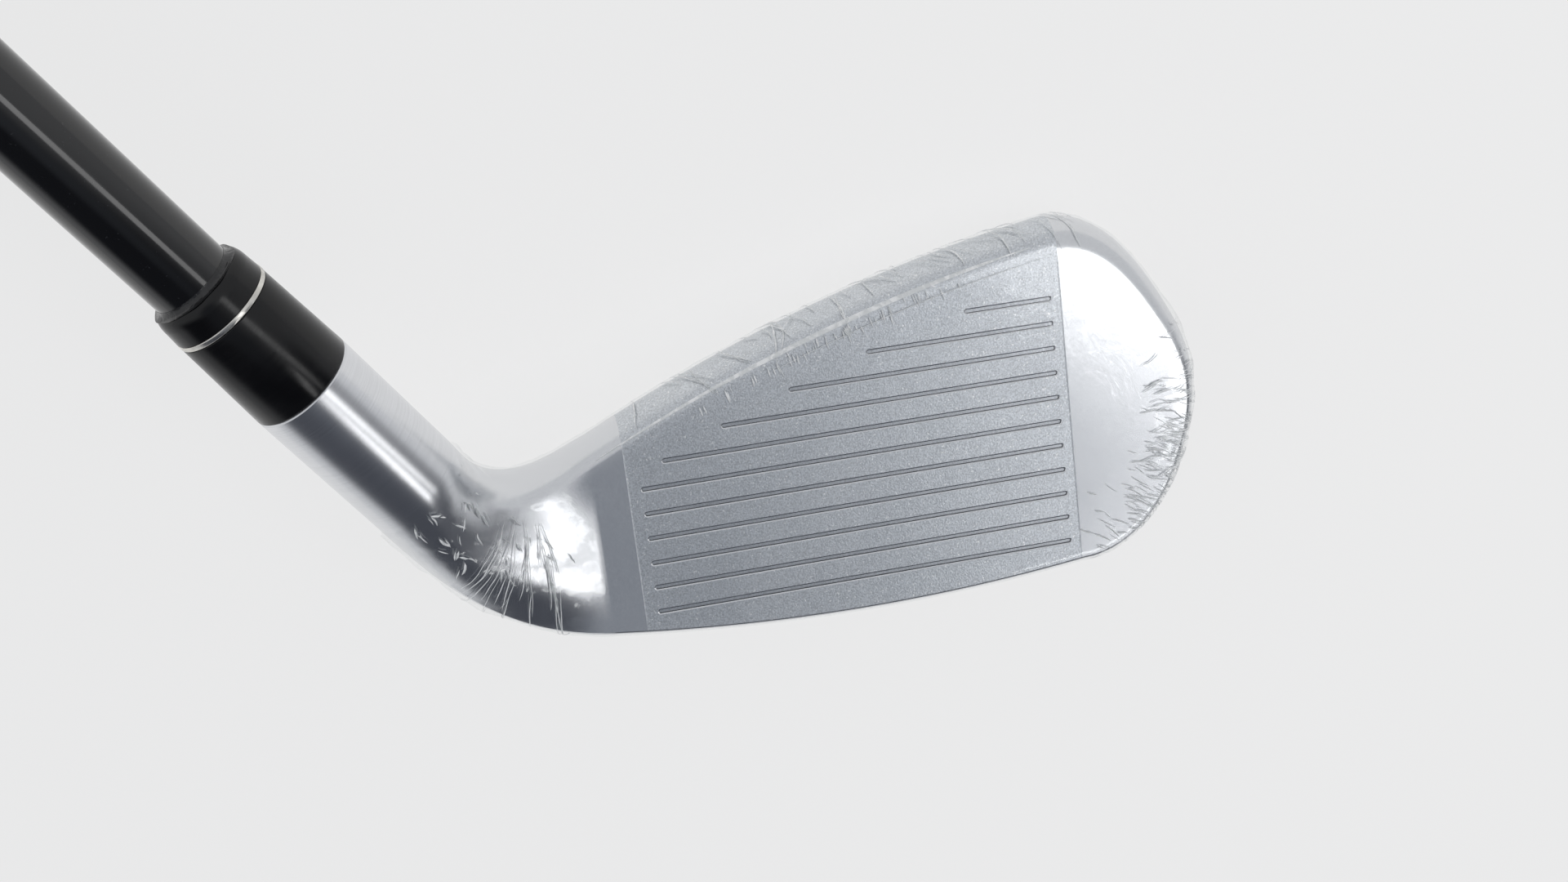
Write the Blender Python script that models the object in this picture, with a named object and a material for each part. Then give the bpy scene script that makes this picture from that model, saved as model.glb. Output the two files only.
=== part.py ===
"""Left-handed hybrid golf club, lying face up on a floor, modelled piece by piece.

Sizes are in millimetres and degrees. The head is drawn in an address frame: +X towards the toe,
+Z up, the striking face towards -Y. One empty then lays the whole club on the floor.
"""

import math

import bmesh
import bpy
from mathutils import Matrix, Vector
from mathutils.geometry import intersect_point_tri

# Unit of the drawing, in metres
MM = 0.001

# Free play between neighbouring pieces
CLEARANCE = 0.3

# Angles of the club
LIE_DEG = 58.4
LOFT_DEG = 20.6

# Striking face, drawn on the face plane: u runs to the toe, v runs up, from the top score line's toe end
TOE_CENTRE_U = 1.4
TOE_CENTRE_V = -13.5
BLADE_HEEL_U = -58.0
TOPLINE_HEEL_V = -11.1
TOPLINE_TOE_V = 7.3
TOPLINE_CROWN = 2.45
LEADING_EDGE_V = -34.7
LEADING_EDGE_LOW_U = -25.0
LEADING_EDGE_CURVE = 0.0021
TOE_RADIUS = 15.6
TOE_UPPER_SQUARENESS = 5.5
TOE_LOWER_SQUARENESS = 3.6

# Thickness of the blade
TOPLINE_THICKNESS = 9.0
RIM_HEIGHT = 2.2
SOLE_WIDTH = 22.0
SOLE_WIDTH_HEEL = 16.5
SOLE_WIDTH_TOE = 17.0
SOLE_CAMBER = 1.6
SOLE_BACK_RISE = 1.2
TRAILING_EDGE_HEIGHT = 4.5
LEADING_EDGE_RADIUS = 1.3

# Hosel and neck, measured along the shaft axis from the height of the top score line
HOSEL_DIAMETER = 12.7
HOSEL_AXIS_U = -83.1
HOSEL_AXIS_Y = -6.5
HOSEL_TOP = 9.65
NECK_START = -8.0
CROTCH_DEPTH = 1.9
HEEL_SLOPE = 2.5
HEEL_SLOPE_TURN = 0.4
BORE_DEPTH = 26.0

# Face plate, its pocket and its score lines
PLATE_THICKNESS = 2.4
PLATE_MARGIN = 2.2
PLATE_HEEL_U = -55.6
SCORE_LINES = 11
SCORE_PITCH = 3.086
SCORE_LENGTH = 52.35
SCORE_WIDTH = 0.9
SCORE_DEPTH = 0.45
SCORE_TOP_MARGIN = 5.1

# Hollow behind the plate
CAVITY_MARGIN = 5.5
CAVITY_DEPTH = 6.0
LOW_POCKET_HEEL_U = -40.0
LOW_POCKET_TOE_U = -4.0
LOW_POCKET_FLOOR = 7.2
LOW_POCKET_HEIGHT = 9.0
LOW_POCKET_DEPTH = 12.5
SOLE_WEIGHT_LENGTH = 30.0
SOLE_WEIGHT_HEIGHT = 6.0
SOLE_WEIGHT_DEPTH = 6.0

# Ferrule
FERRULE_BODY_LENGTH = 11.3
FERRULE_TAPER = 0.034
TRIM_RING_WIDTH = 0.6
TRIM_RING_PROUD = 0.05
COLLAR_HEIGHT = 3.2
COLLAR_ROUND = 1.7
ADHESIVE_BEAD_HEIGHT = 0.6
ADHESIVE_BEAD_WIDTH = 0.4
ADHESIVE_BEAD_TOP_WIDTH = 0.13

# Shaft
CLUB_LENGTH = 1000.0
SHAFT_TIP_DIAMETER = 9.4
SHAFT_BUTT_DIAMETER = 15.2
SHAFT_PARALLEL_TIP = 110.0
SHAFT_WALL = 1.4
TIP_PIN_LENGTH = 26.0
TIP_PIN_FLANGE = 1.2
TIP_PLUG_LENGTH = 12.0

# Grip
GRIP_LENGTH = 270.0
GRIP_MOUTH_DIAMETER = 19.4
GRIP_BUTT_DIAMETER = 26.0
GRIP_MOUTH_ROUND = 1.2
TAPE_THICKNESS = 0.35
CAP_DIAMETER = 27.0
CAP_THICKNESS = 5.5
CAP_ROUND = 2.0
CAP_VENT_DIAMETER = 3.0

# Clear film round the head
FILM_THICKNESS = 0.35
FILM_START = -7.0

# Masses used to find how the club comes to rest, in grams
HEAD_MASS = 245.0
SHAFT_MASS = 65.0
GRIP_MASS = 50.0

# How far a cutter stands out of what it cuts
CUTTER_REACH = 2.0

# Fineness of the meshes
ROUND_SIDE_COUNT = 28
FACE_POINT_COUNT = 5
RIM_POINT_COUNT = 9
BACK_POINT_COUNT = 5
NECK_SECTION_COUNT = 10
BLADE_SECTION_COUNT = 9
TOE_SECTION_COUNT = 12
COLLAR_ROUND_COUNT = 6
CAP_ROUND_COUNT = 5
SHARP_ANGLE_DEG = 35

LIE = math.radians(LIE_DEG)
LOFT = math.radians(LOFT_DEG)
HOSEL_RADIUS = HOSEL_DIAMETER / 2
SHAFT_TIP_RADIUS = SHAFT_TIP_DIAMETER / 2
BORE_RADIUS = SHAFT_TIP_RADIUS + CLEARANCE
AXIS_DIRECTION = Vector((-math.cos(LIE), 0.0, math.sin(LIE)))
AXIS_SIDE = Vector((math.sin(LIE), 0.0, math.cos(LIE)))
AXIS_ORIGIN = Vector((HOSEL_AXIS_U, HOSEL_AXIS_Y, 0.0))
FACE_NORMAL = Vector((0.0, -math.cos(LOFT), math.sin(LOFT)))


def face_outwards(mesh):
    """Turns all faces of a closed mesh outwards."""
    bmesh.ops.recalc_face_normals(mesh, faces=mesh.faces)
    if mesh.calc_volume(signed=True) < 0:
        bmesh.ops.reverse_faces(mesh, faces=mesh.faces)


def mix(a, b, t):
    """The value at share t between a and b."""
    return a + (b - a) * t


def smooth(t):
    """A share that leaves 0 and reaches 1 gently."""
    return t * t * (3 - 2 * t)


def shares(count):
    """Evenly spaced shares from 0 to 1."""
    return [i / (count - 1) for i in range(count)]


def on_face(u, v, depth):
    """A point of the address frame from face coordinates and the depth behind the face."""
    y = v * math.sin(LOFT) + depth * math.cos(LOFT)
    z = v * math.cos(LOFT) - depth * math.sin(LOFT)
    return Vector((u, y, z))


def on_axis(s, side=0.0):
    """A point of the address frame at height s on the shaft axis, moved sideways in the lie plane."""
    return AXIS_ORIGIN + AXIS_DIRECTION * s + AXIS_SIDE * side


# Outline of the face

def topline_v(u):
    """Height of the face's upper edge."""
    t = (u - BLADE_HEEL_U) / (TOE_CENTRE_U - BLADE_HEEL_U)
    return mix(TOPLINE_HEEL_V, TOPLINE_TOE_V, t) + 4 * TOPLINE_CROWN * t * (1 - t)


def leading_edge_v(u):
    """Height of the face's lower edge."""
    return LEADING_EDGE_V + LEADING_EDGE_CURVE * (u - LEADING_EDGE_LOW_U) ** 2


def middle_v(u):
    """Height that parts the upper from the lower half of a section."""
    t = (u - BLADE_HEEL_U) / (TOE_CENTRE_U - BLADE_HEEL_U)
    heel_middle = (TOPLINE_HEEL_V + leading_edge_v(BLADE_HEEL_U)) / 2
    return mix(heel_middle, TOE_CENTRE_V, smooth(t))


def sole_width(u):
    """Width of the sole from the leading edge to the trailing edge."""
    t = (u - BLADE_HEEL_U) / (TOE_CENTRE_U - BLADE_HEEL_U)
    ends = mix(SOLE_WIDTH_HEEL, SOLE_WIDTH_TOE, t)
    middle = SOLE_WIDTH - (SOLE_WIDTH_HEEL + SOLE_WIDTH_TOE) / 2
    return ends + 4 * middle * t * (1 - t)


def toe_reach(angle):
    """Distance from the toe centre to the face's edge, at an angle from straight out to the toe."""
    lift = abs(math.sin(angle))
    if angle >= 0:
        end = topline_v(TOE_CENTRE_U) - TOE_CENTRE_V
        return mix(TOE_RADIUS, end, lift ** TOE_UPPER_SQUARENESS)
    end = TOE_CENTRE_V - leading_edge_v(TOE_CENTRE_U)
    return mix(TOE_RADIUS, end, lift ** TOE_LOWER_SQUARENESS)


# Half sections: lists of (depth behind the face, reach from the section's middle height)

def upper_half(u):
    """From the face's middle up over the topline to the middle of the back."""
    reach = topline_v(u) - middle_v(u)
    half = TOPLINE_THICKNESS / 2
    face = [(0.0, reach * t) for t in shares(FACE_POINT_COUNT)]
    rim = []
    for t in shares(RIM_POINT_COUNT)[1:]:
        turn = math.pi * t
        rim.append((half - half * math.cos(turn), reach + RIM_HEIGHT * math.sin(turn)))
    middle = back_depth(u)
    back = [(mix(TOPLINE_THICKNESS, middle, t), reach * (1 - t)) for t in shares(BACK_POINT_COUNT)[1:]]
    return face + rim + back


def sole_points(u):
    """The sole from the leading edge to the top of the trailing edge, as (y, z) from the leading edge."""
    width = sole_width(u)
    r = LEADING_EDGE_RADIUS
    nose_y, nose_z = r * (1 - math.cos(math.pi / 4)), -r * math.sin(math.pi / 4)
    points = [(nose_y, nose_z)]
    for t in shares(RIM_POINT_COUNT - 3)[1:]:
        drop = SOLE_CAMBER * math.sin(math.pi * t) - SOLE_BACK_RISE * t ** 3
        points.append((mix(r, width - r, t), nose_z - drop))
    corner_z = points[-1][1]
    points.append((width, corner_z + r))
    points.append((width, corner_z + TRAILING_EDGE_HEIGHT))
    return points


def lower_half(u):
    """From the face's middle down round the leading edge and the sole to the middle of the back."""
    low = leading_edge_v(u)
    reach = middle_v(u) - low
    face = [(0.0, reach * t) for t in shares(FACE_POINT_COUNT)]
    rim = []
    for y, z in sole_points(u):
        depth = y * math.cos(LOFT) - z * math.sin(LOFT)
        rise = y * math.sin(LOFT) + z * math.cos(LOFT)
        rim.append((depth, reach - rise))
    middle = back_depth(u)
    last = rim[-1]
    back = [(mix(last[0], middle, t), mix(last[1], 0.0, t)) for t in shares(BACK_POINT_COUNT)[1:]]
    return face + rim + back


def back_depth(u):
    """Depth of the back at the section's middle height."""
    low = leading_edge_v(u)
    y, z = sole_points(u)[-1]
    bottom_depth = y * math.cos(LOFT) - z * math.sin(LOFT)
    bottom_v = low + y * math.sin(LOFT) + z * math.cos(LOFT)
    top_v = topline_v(u)
    share = (middle_v(u) - bottom_v) / (top_v - bottom_v)
    return mix(bottom_depth, TOPLINE_THICKNESS, share)


def blade_loop(u):
    """Closed section of the blade: up the face and topline, down the back, forward along the sole."""
    upper = upper_half(u)
    lower = lower_half(u)
    middle = middle_v(u)
    loop = [on_face(u, middle + reach, depth) for depth, reach in upper]
    loop += [on_face(u, middle - reach, depth) for depth, reach in reversed(lower[1:-1])]
    return loop


def hosel_loop_angles():
    """Angles on the hosel's circle that match the points of a blade section."""
    quarter = math.pi / 4
    upper = [math.pi - quarter * t for t in shares(FACE_POINT_COUNT)]
    upper += [mix(math.pi - quarter, quarter, t) for t in shares(RIM_POINT_COUNT)[1:]]
    upper += [quarter * (1 - t) for t in shares(BACK_POINT_COUNT)[1:]]
    return upper + [-a for a in reversed(upper[1:-1])]


def hosel_loop(s, radius=HOSEL_RADIUS):
    """Closed round section of the hosel at height s."""
    centre = on_axis(s)
    return [
        centre + Vector((0.0, radius * math.cos(a), 0.0)) + AXIS_SIDE * (radius * math.sin(a))
        for a in hosel_loop_angles()
    ]


def neck_loops(count):
    """Sections that fan from the hosel to the heel end of the blade about a line in front of the crotch."""
    start = on_axis(NECK_START)
    fan_reach = (BLADE_HEEL_U - start.x) / AXIS_SIDE.x
    fan = start + AXIS_SIDE * fan_reach
    blade = [(p.y, p.z - fan.z) for p in blade_loop(BLADE_HEEL_U)]
    angles = hosel_loop_angles()
    hosel = [
        (HOSEL_AXIS_Y + HOSEL_RADIUS * math.cos(a), HOSEL_RADIUS * math.sin(a) - fan_reach) for a in angles
    ]
    hosel_top, hosel_low = max(h for _, h in hosel), min(h for _, h in hosel)
    blade_top, blade_low = max(h for _, h in blade), min(h for _, h in blade)
    loops = []
    for t in shares(count):
        top = follow(hosel_top, blade_top, -slope_at_heel(topline_v) * blade_top * LIE, t)
        low = follow(hosel_low, blade_low, -slope_at_heel(leading_edge_v) * blade_low * LIE, t)
        hump = 16 * (t * (1 - t)) ** 2
        top -= CROTCH_DEPTH * hump
        turn = LIE * (1 - t)
        outward = Vector((math.sin(turn), 0.0, math.cos(turn)))
        loop = []
        for angle, (hosel_y, hosel_height), (blade_y, blade_height) in zip(angles, hosel, blade):
            hosel_share = (hosel_height - hosel_low) / (hosel_top - hosel_low)
            blade_part = (blade_height - blade_low) / (blade_top - blade_low)
            share = mix(hosel_share, blade_part, smooth(t))
            front = max(0.0, -math.cos(angle - HEEL_SLOPE_TURN)) ** 2
            y = follow(hosel_y, blade_y, HEEL_SLOPE * front * (blade_y - hosel_y), t)
            loop.append(Vector((fan.x, y, fan.z)) + outward * mix(low, top, share))
        loops.append(loop)
    return loops


def slope_at_heel(height):
    """Slope of an edge of the face at the heel end of the blade, in the upright plane."""
    step = 0.05
    return (height(BLADE_HEEL_U + step) - height(BLADE_HEEL_U)) / step * math.cos(LOFT)


def follow(start, end, end_slope, t):
    """A cubic from start, level, to end with the given slope."""
    return (
        start * (2 * t ** 3 - 3 * t ** 2 + 1)
        + end * (3 * t ** 2 - 2 * t ** 3)
        + end_slope * (t ** 3 - t ** 2)
    )


def toe_chains(count):
    """Half sections that fan round the toe centre, from the topline to the sole."""
    upper = upper_half(TOE_CENTRE_U)
    lower = lower_half(TOE_CENTRE_U)
    top_reach = topline_v(TOE_CENTRE_U) - TOE_CENTRE_V
    low_reach = TOE_CENTRE_V - leading_edge_v(TOE_CENTRE_U)
    chains = []
    for t in shares(count)[1:-1]:
        angle = math.pi / 2 - math.pi * t
        reach = toe_reach(angle)
        blend = smooth(t)
        chain = []
        for (da, ra), (db, rb) in zip(upper, lower):
            depth = mix(da, db, blend)
            edge_a = min(ra, top_reach) / top_reach
            edge_b = min(rb, low_reach) / low_reach
            proud = mix(max(0.0, ra - top_reach), max(0.0, rb - low_reach), blend)
            distance = reach * mix(edge_a, edge_b, blend) + proud
            u = TOE_CENTRE_U + distance * math.cos(angle)
            v = TOE_CENTRE_V + distance * math.sin(angle)
            chain.append(on_face(u, v, depth))
        chains.append(chain)
    return chains


def head_skin(first_height):
    """The head's closed outer skin, and the flat face that ends it on the hosel."""
    loops = [hosel_loop(first_height)]
    loops += neck_loops(NECK_SECTION_COUNT)
    for t in shares(BLADE_SECTION_COUNT)[1:]:
        loops.append(blade_loop(mix(BLADE_HEEL_U, TOE_CENTRE_U, t)))
    mesh = bmesh.new()
    rings = [[mesh.verts.new(p) for p in loop] for loop in loops]
    for near, far in zip(rings, rings[1:]):
        for i in range(len(near)):
            j = (i + 1) % len(near)
            mesh.faces.new((near[i], near[j], far[j], far[i]))
    last = rings[-1]
    half_count = FACE_POINT_COUNT + (RIM_POINT_COUNT - 1) + (BACK_POINT_COUNT - 1)
    upper = last[:half_count]
    lower = [last[0]] + list(reversed(last[half_count - 1:]))
    chains = [upper]
    for points in toe_chains(TOE_SECTION_COUNT):
        inner = [mesh.verts.new(p) for p in points[1:-1]]
        chains.append([upper[0]] + inner + [upper[-1]])
    chains.append(lower)
    for near, far in zip(chains, chains[1:]):
        for i in range(half_count - 1):
            corners = [near[i], near[i + 1], far[i + 1], far[i]]
            mesh.faces.new(list(dict.fromkeys(corners)))
    cap = mesh.faces.new(rings[0])
    face_outwards(mesh)
    return mesh, cap


# Making objects

def material(name, colour, roughness, metallic, alpha=1.0):
    """A plain surface of one colour."""
    made = bpy.data.materials.new(name)
    made.use_nodes = True
    shader = made.node_tree.nodes["Principled BSDF"]
    shader.inputs["Base Color"].default_value = (*colour, 1.0)
    shader.inputs["Roughness"].default_value = roughness
    shader.inputs["Metallic"].default_value = metallic
    shader.inputs["Alpha"].default_value = alpha
    return made


def add_object(name, mesh, surface=None):
    """An object from a bmesh drawn in millimetres."""
    bmesh.ops.scale(mesh, vec=(MM, MM, MM), verts=mesh.verts)
    data = bpy.data.meshes.new(name)
    mesh.to_mesh(data)
    mesh.free()
    data.shade_smooth()
    data.set_sharp_from_angle(angle=math.radians(SHARP_ANGLE_DEG))
    made = bpy.data.objects.new(name, data)
    bpy.context.scene.collection.objects.link(made)
    if surface:
        data.materials.append(surface)
    made.parent = POSE
    return made


def cut(target, cutter):
    """Takes the cutter's shape out of the target."""
    cutter.hide_render = True
    cutter.display_type = "WIRE"
    modifier = target.modifiers.new("cut_" + cutter.name, "BOOLEAN")
    modifier.operation = "DIFFERENCE"
    modifier.solver = "EXACT"
    modifier.object = cutter


def turned_mesh(profile, sides=ROUND_SIDE_COUNT):
    """A body turned about Z from a closed profile of (radius, height), run down its outer side."""
    mesh = bmesh.new()
    rings = []
    for radius, height in profile:
        if radius == 0:
            pole = mesh.verts.new((0.0, 0.0, height))
            rings.append([pole] * sides)
            continue
        ring = []
        for i in range(sides):
            angle = 2 * math.pi * i / sides
            ring.append(mesh.verts.new((radius * math.cos(angle), radius * math.sin(angle), height)))
        rings.append(ring)
    for near, far in zip(rings, rings[1:] + rings[:1]):
        for i in range(sides):
            j = (i + 1) % sides
            corners = list(dict.fromkeys((near[i], near[j], far[j], far[i])))
            if len(corners) > 2:
                mesh.faces.new(corners)
    face_outwards(mesh)
    return mesh


def turned(name, profile, surface=None, sides=ROUND_SIDE_COUNT):
    """A turned piece on the shaft axis, with heights measured along it."""
    made = add_object(name, turned_mesh(profile, sides), surface)
    made.location = AXIS_ORIGIN * MM
    made.rotation_euler = (0.0, LIE - math.pi / 2, 0.0)
    return made


def prism_mesh(outline, front, back):
    """A prism on the face plane, from one depth to another, from an outline of (u, v)."""
    mesh = bmesh.new()
    near = [mesh.verts.new(on_face(u, v, front)) for u, v in outline]
    far = [mesh.verts.new(on_face(u, v, back)) for u, v in outline]
    mesh.faces.new(near)
    mesh.faces.new(list(reversed(far)))
    for i in range(len(outline)):
        j = (i + 1) % len(outline)
        mesh.faces.new((near[i], far[i], far[j], near[j]))
    face_outwards(mesh)
    return mesh


def rectangle(left, right, low, high):
    """A rectangle's outline on the face plane."""
    return [(left, low), (right, low), (right, high), (left, high)]


def face_outline(margin, heel_u):
    """The face's outline, drawn in by a margin, from a straight heel end round the toe."""
    stations = [mix(heel_u, TOE_CENTRE_U, t) for t in shares(BLADE_SECTION_COUNT)]
    outline = [(u, leading_edge_v(u) + margin) for u in stations]
    for t in shares(TOE_SECTION_COUNT)[1:-1]:
        angle = math.pi * t - math.pi / 2
        reach = toe_reach(angle) - margin
        outline.append((TOE_CENTRE_U + reach * math.cos(angle), TOE_CENTRE_V + reach * math.sin(angle)))
    outline += [(u, topline_v(u) - margin) for u in reversed(stations)]
    return outline


# Pieces of the head

def make_head_body():
    """The steel head: closed skin, shaft bore, plate pocket and hollow."""
    mesh, _ = head_skin(HOSEL_TOP)
    body = add_object("head_body", mesh, material("satin_steel", (0.62, 0.63, 0.65), 0.28, 1.0))
    floor = HOSEL_TOP - BORE_DEPTH
    above = HOSEL_TOP + CUTTER_REACH
    bore = [(0, above), (BORE_RADIUS, above), (BORE_RADIUS, floor), (0, floor)]
    cut(body, turned("shaft_bore", bore))
    in_front = -CUTTER_REACH
    pocket = prism_mesh(face_outline(PLATE_MARGIN, PLATE_HEEL_U), in_front, PLATE_THICKNESS + CLEARANCE)
    cut(body, add_object("plate_pocket", pocket))
    hollow_heel = PLATE_HEEL_U + CAVITY_MARGIN - PLATE_MARGIN
    hollow = prism_mesh(face_outline(CAVITY_MARGIN, hollow_heel), in_front, PLATE_THICKNESS + CAVITY_DEPTH)
    cut(body, add_object("hollow", hollow))
    low = rectangle(LOW_POCKET_HEEL_U, LOW_POCKET_TOE_U, *low_pocket_heights())
    cut(body, add_object("low_pocket", prism_mesh(low, in_front, PLATE_THICKNESS + LOW_POCKET_DEPTH)))
    return body


def low_pocket_heights():
    """Floor and ceiling of the deep pocket that holds the sole weight."""
    floor = LEADING_EDGE_V + LOW_POCKET_FLOOR
    return floor, floor + LOW_POCKET_HEIGHT


def make_face_plate():
    """The striking plate with its score lines."""
    outline = face_outline(PLATE_MARGIN + CLEARANCE, PLATE_HEEL_U + CLEARANCE)
    surface = material("blasted_steel", (0.42, 0.44, 0.47), 0.55, 1.0)
    plate = add_object("face_plate", prism_mesh(outline, 0.0, PLATE_THICKNESS), surface)
    lines = bmesh.new()
    for row in range(SCORE_LINES):
        add_score_line(lines, -row * SCORE_PITCH)
    face_outwards(lines)
    cut(plate, add_object("score_cutter", lines))
    return plate


def score_line_heel(v):
    """The heel end of a score line: full length, or cut short below the topline."""
    left = -SCORE_LENGTH
    step = 0.1
    while topline_v(left) - SCORE_TOP_MARGIN < v and left < -step:
        left += step
    return left


def add_score_line(mesh, v):
    """One V-shaped groove cutter, as wide again above the face as it is at the face."""
    section = [(v - SCORE_WIDTH, -SCORE_DEPTH), (v + SCORE_WIDTH, -SCORE_DEPTH), (v, SCORE_DEPTH)]
    ends = []
    for u in (score_line_heel(v), 0.0):
        ends.append([mesh.verts.new(on_face(u, sv, depth)) for sv, depth in section])
    mesh.faces.new(ends[0])
    mesh.faces.new(list(reversed(ends[1])))
    for i in range(3):
        j = (i + 1) % 3
        mesh.faces.new((ends[0][i], ends[1][i], ends[1][j], ends[0][j]))


def make_sole_weight():
    """The dense slug on the floor and the rear wall of the deep pocket."""
    middle = (LOW_POCKET_HEEL_U + LOW_POCKET_TOE_U) / 2
    floor = low_pocket_heights()[0] + CLEARANCE
    outline = rectangle(
        middle - SOLE_WEIGHT_LENGTH / 2, middle + SOLE_WEIGHT_LENGTH / 2, floor, floor + SOLE_WEIGHT_HEIGHT
    )
    back = PLATE_THICKNESS + LOW_POCKET_DEPTH - CLEARANCE
    mesh = prism_mesh(outline, back - SOLE_WEIGHT_DEPTH, back)
    return add_object("sole_weight", mesh, material("tungsten", (0.33, 0.33, 0.34), 0.45, 1.0))


def make_head_film():
    """The clear film: a thin shell that follows the head, open at the neck."""
    mesh, cap = head_skin(FILM_START)
    rim = list(cap.verts)
    mesh.faces.remove(cap)
    mesh.normal_update()
    outer = {v: v.co + v.normal * (CLEARANCE + FILM_THICKNESS) for v in mesh.verts}
    inner = {v: v.co + v.normal * CLEARANCE for v in mesh.verts}
    shell = bmesh.new()
    outside = {v: shell.verts.new(p) for v, p in outer.items()}
    inside = {v: shell.verts.new(p) for v, p in inner.items()}
    for face in mesh.faces:
        shell.faces.new([outside[v] for v in face.verts])
        shell.faces.new([inside[v] for v in reversed(face.verts)])
    for i, v in enumerate(rim):
        w = rim[(i + 1) % len(rim)]
        shell.faces.new((outside[v], outside[w], inside[w], inside[v]))
    mesh.free()
    face_outwards(shell)
    return add_object("head_film", shell, material("clear_film", (0.9, 0.92, 0.93), 0.15, 0.0, 0.3))


# Pieces on the shaft axis

def ferrule_radius(s):
    """Outer radius of the ferrule at height s."""
    return HOSEL_RADIUS - FERRULE_TAPER * (s - HOSEL_TOP)


def sleeve_profile(inner, low, high, proud=0.0):
    """A short tapered sleeve on the ferrule's outline, standing a little proud of it if asked."""
    outer = [(ferrule_radius(s) + proud, s) for s in (high, low)]
    return outer + [(inner, low), (inner, high)]


def make_ferrule():
    """The tapered sleeve, its trim ring, the round-edged collar and the adhesive bead."""
    black = material("ferrule_black", (0.012, 0.012, 0.014), 0.2, 0.0)
    low = HOSEL_TOP + CLEARANCE
    high = low + FERRULE_BODY_LENGTH
    turned("ferrule_body", sleeve_profile(BORE_RADIUS, low, high), black)
    ring_low = high + CLEARANCE
    ring_high = ring_low + TRIM_RING_WIDTH
    ring = sleeve_profile(BORE_RADIUS, ring_low, ring_high, TRIM_RING_PROUD)
    turned("ferrule_trim_ring", ring, material("trim_silver", (0.75, 0.74, 0.72), 0.22, 1.0))
    collar_low = ring_high + CLEARANCE
    collar_high = collar_low + COLLAR_HEIGHT
    collar_side = ferrule_radius(collar_high)
    top_edge = BORE_RADIUS + ADHESIVE_BEAD_WIDTH
    profile = [(BORE_RADIUS, collar_high)]
    for t in shares(COLLAR_ROUND_COUNT):
        turn = math.pi / 2 * t
        radius = top_edge + (collar_side - top_edge) * math.sin(turn)
        profile.append((radius, collar_high - COLLAR_ROUND * (1 - math.cos(turn))))
    profile += [(ferrule_radius(collar_low), collar_low), (BORE_RADIUS, collar_low)]
    turned("ferrule_collar", profile, material("collar_black", (0.012, 0.012, 0.014), 0.25, 0.0))
    bead_low = collar_high + CLEARANCE
    bead_high = bead_low + ADHESIVE_BEAD_HEIGHT
    bead = [(BORE_RADIUS + ADHESIVE_BEAD_TOP_WIDTH, bead_high), (BORE_RADIUS + ADHESIVE_BEAD_WIDTH, bead_low)]
    bead += [(BORE_RADIUS, bead_low), (BORE_RADIUS, bead_high)]
    turned("adhesive_bead", bead, material("adhesive_dark", (0.02, 0.02, 0.022), 0.1, 0.0))


def shaft_tip():
    """Height of the shaft's tip, on the flange of the weight pin."""
    return HOSEL_TOP - BORE_DEPTH + CLEARANCE + TIP_PIN_FLANGE + CLEARANCE


def shaft_butt():
    """Height of the shaft's upper end, under the grip cap."""
    ground = (LEADING_EDGE_V * math.cos(LOFT) - SOLE_CAMBER) / math.sin(LIE)
    return ground + CLUB_LENGTH - CAP_THICKNESS - CLEARANCE


def shaft_radius(s):
    """Outer radius of the shaft at height s: a parallel tip, then an even taper."""
    taper_start = shaft_tip() + SHAFT_PARALLEL_TIP
    share = max(0.0, (s - taper_start) / (shaft_butt() - taper_start))
    return mix(SHAFT_TIP_RADIUS, SHAFT_BUTT_DIAMETER / 2, share)


def grip_start():
    """Height of the grip's mouth."""
    return shaft_butt() - GRIP_LENGTH


def make_shaft():
    """The graphite tube, the weight pin in its tip and the plug above the pin."""
    tip, butt = shaft_tip(), shaft_butt()
    heights = [butt, tip + SHAFT_PARALLEL_TIP, tip]
    profile = [(shaft_radius(s), s) for s in heights]
    profile += [(shaft_radius(s) - SHAFT_WALL, s) for s in reversed(heights)]
    turned("shaft", profile, material("gloss_black_graphite", (0.01, 0.01, 0.012), 0.12, 0.0))
    pin_radius = SHAFT_TIP_RADIUS - SHAFT_WALL - CLEARANCE
    flange_low = HOSEL_TOP - BORE_DEPTH + CLEARANCE
    flange_high = flange_low + TIP_PIN_FLANGE
    pin_top = flange_high + TIP_PIN_LENGTH
    pin = [(0, pin_top), (pin_radius, pin_top), (pin_radius, flange_high), (SHAFT_TIP_RADIUS, flange_high)]
    pin += [(SHAFT_TIP_RADIUS, flange_low), (0, flange_low)]
    turned("tip_weight_pin", pin, material("brass", (0.7, 0.52, 0.22), 0.35, 1.0))
    plug_low = pin_top + CLEARANCE
    plug_high = plug_low + TIP_PLUG_LENGTH
    plug = [(0, plug_high), (pin_radius, plug_high), (pin_radius, plug_low), (0, plug_low)]
    turned("tip_plug", plug, material("cork", (0.45, 0.3, 0.17), 0.9, 0.0))


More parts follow.
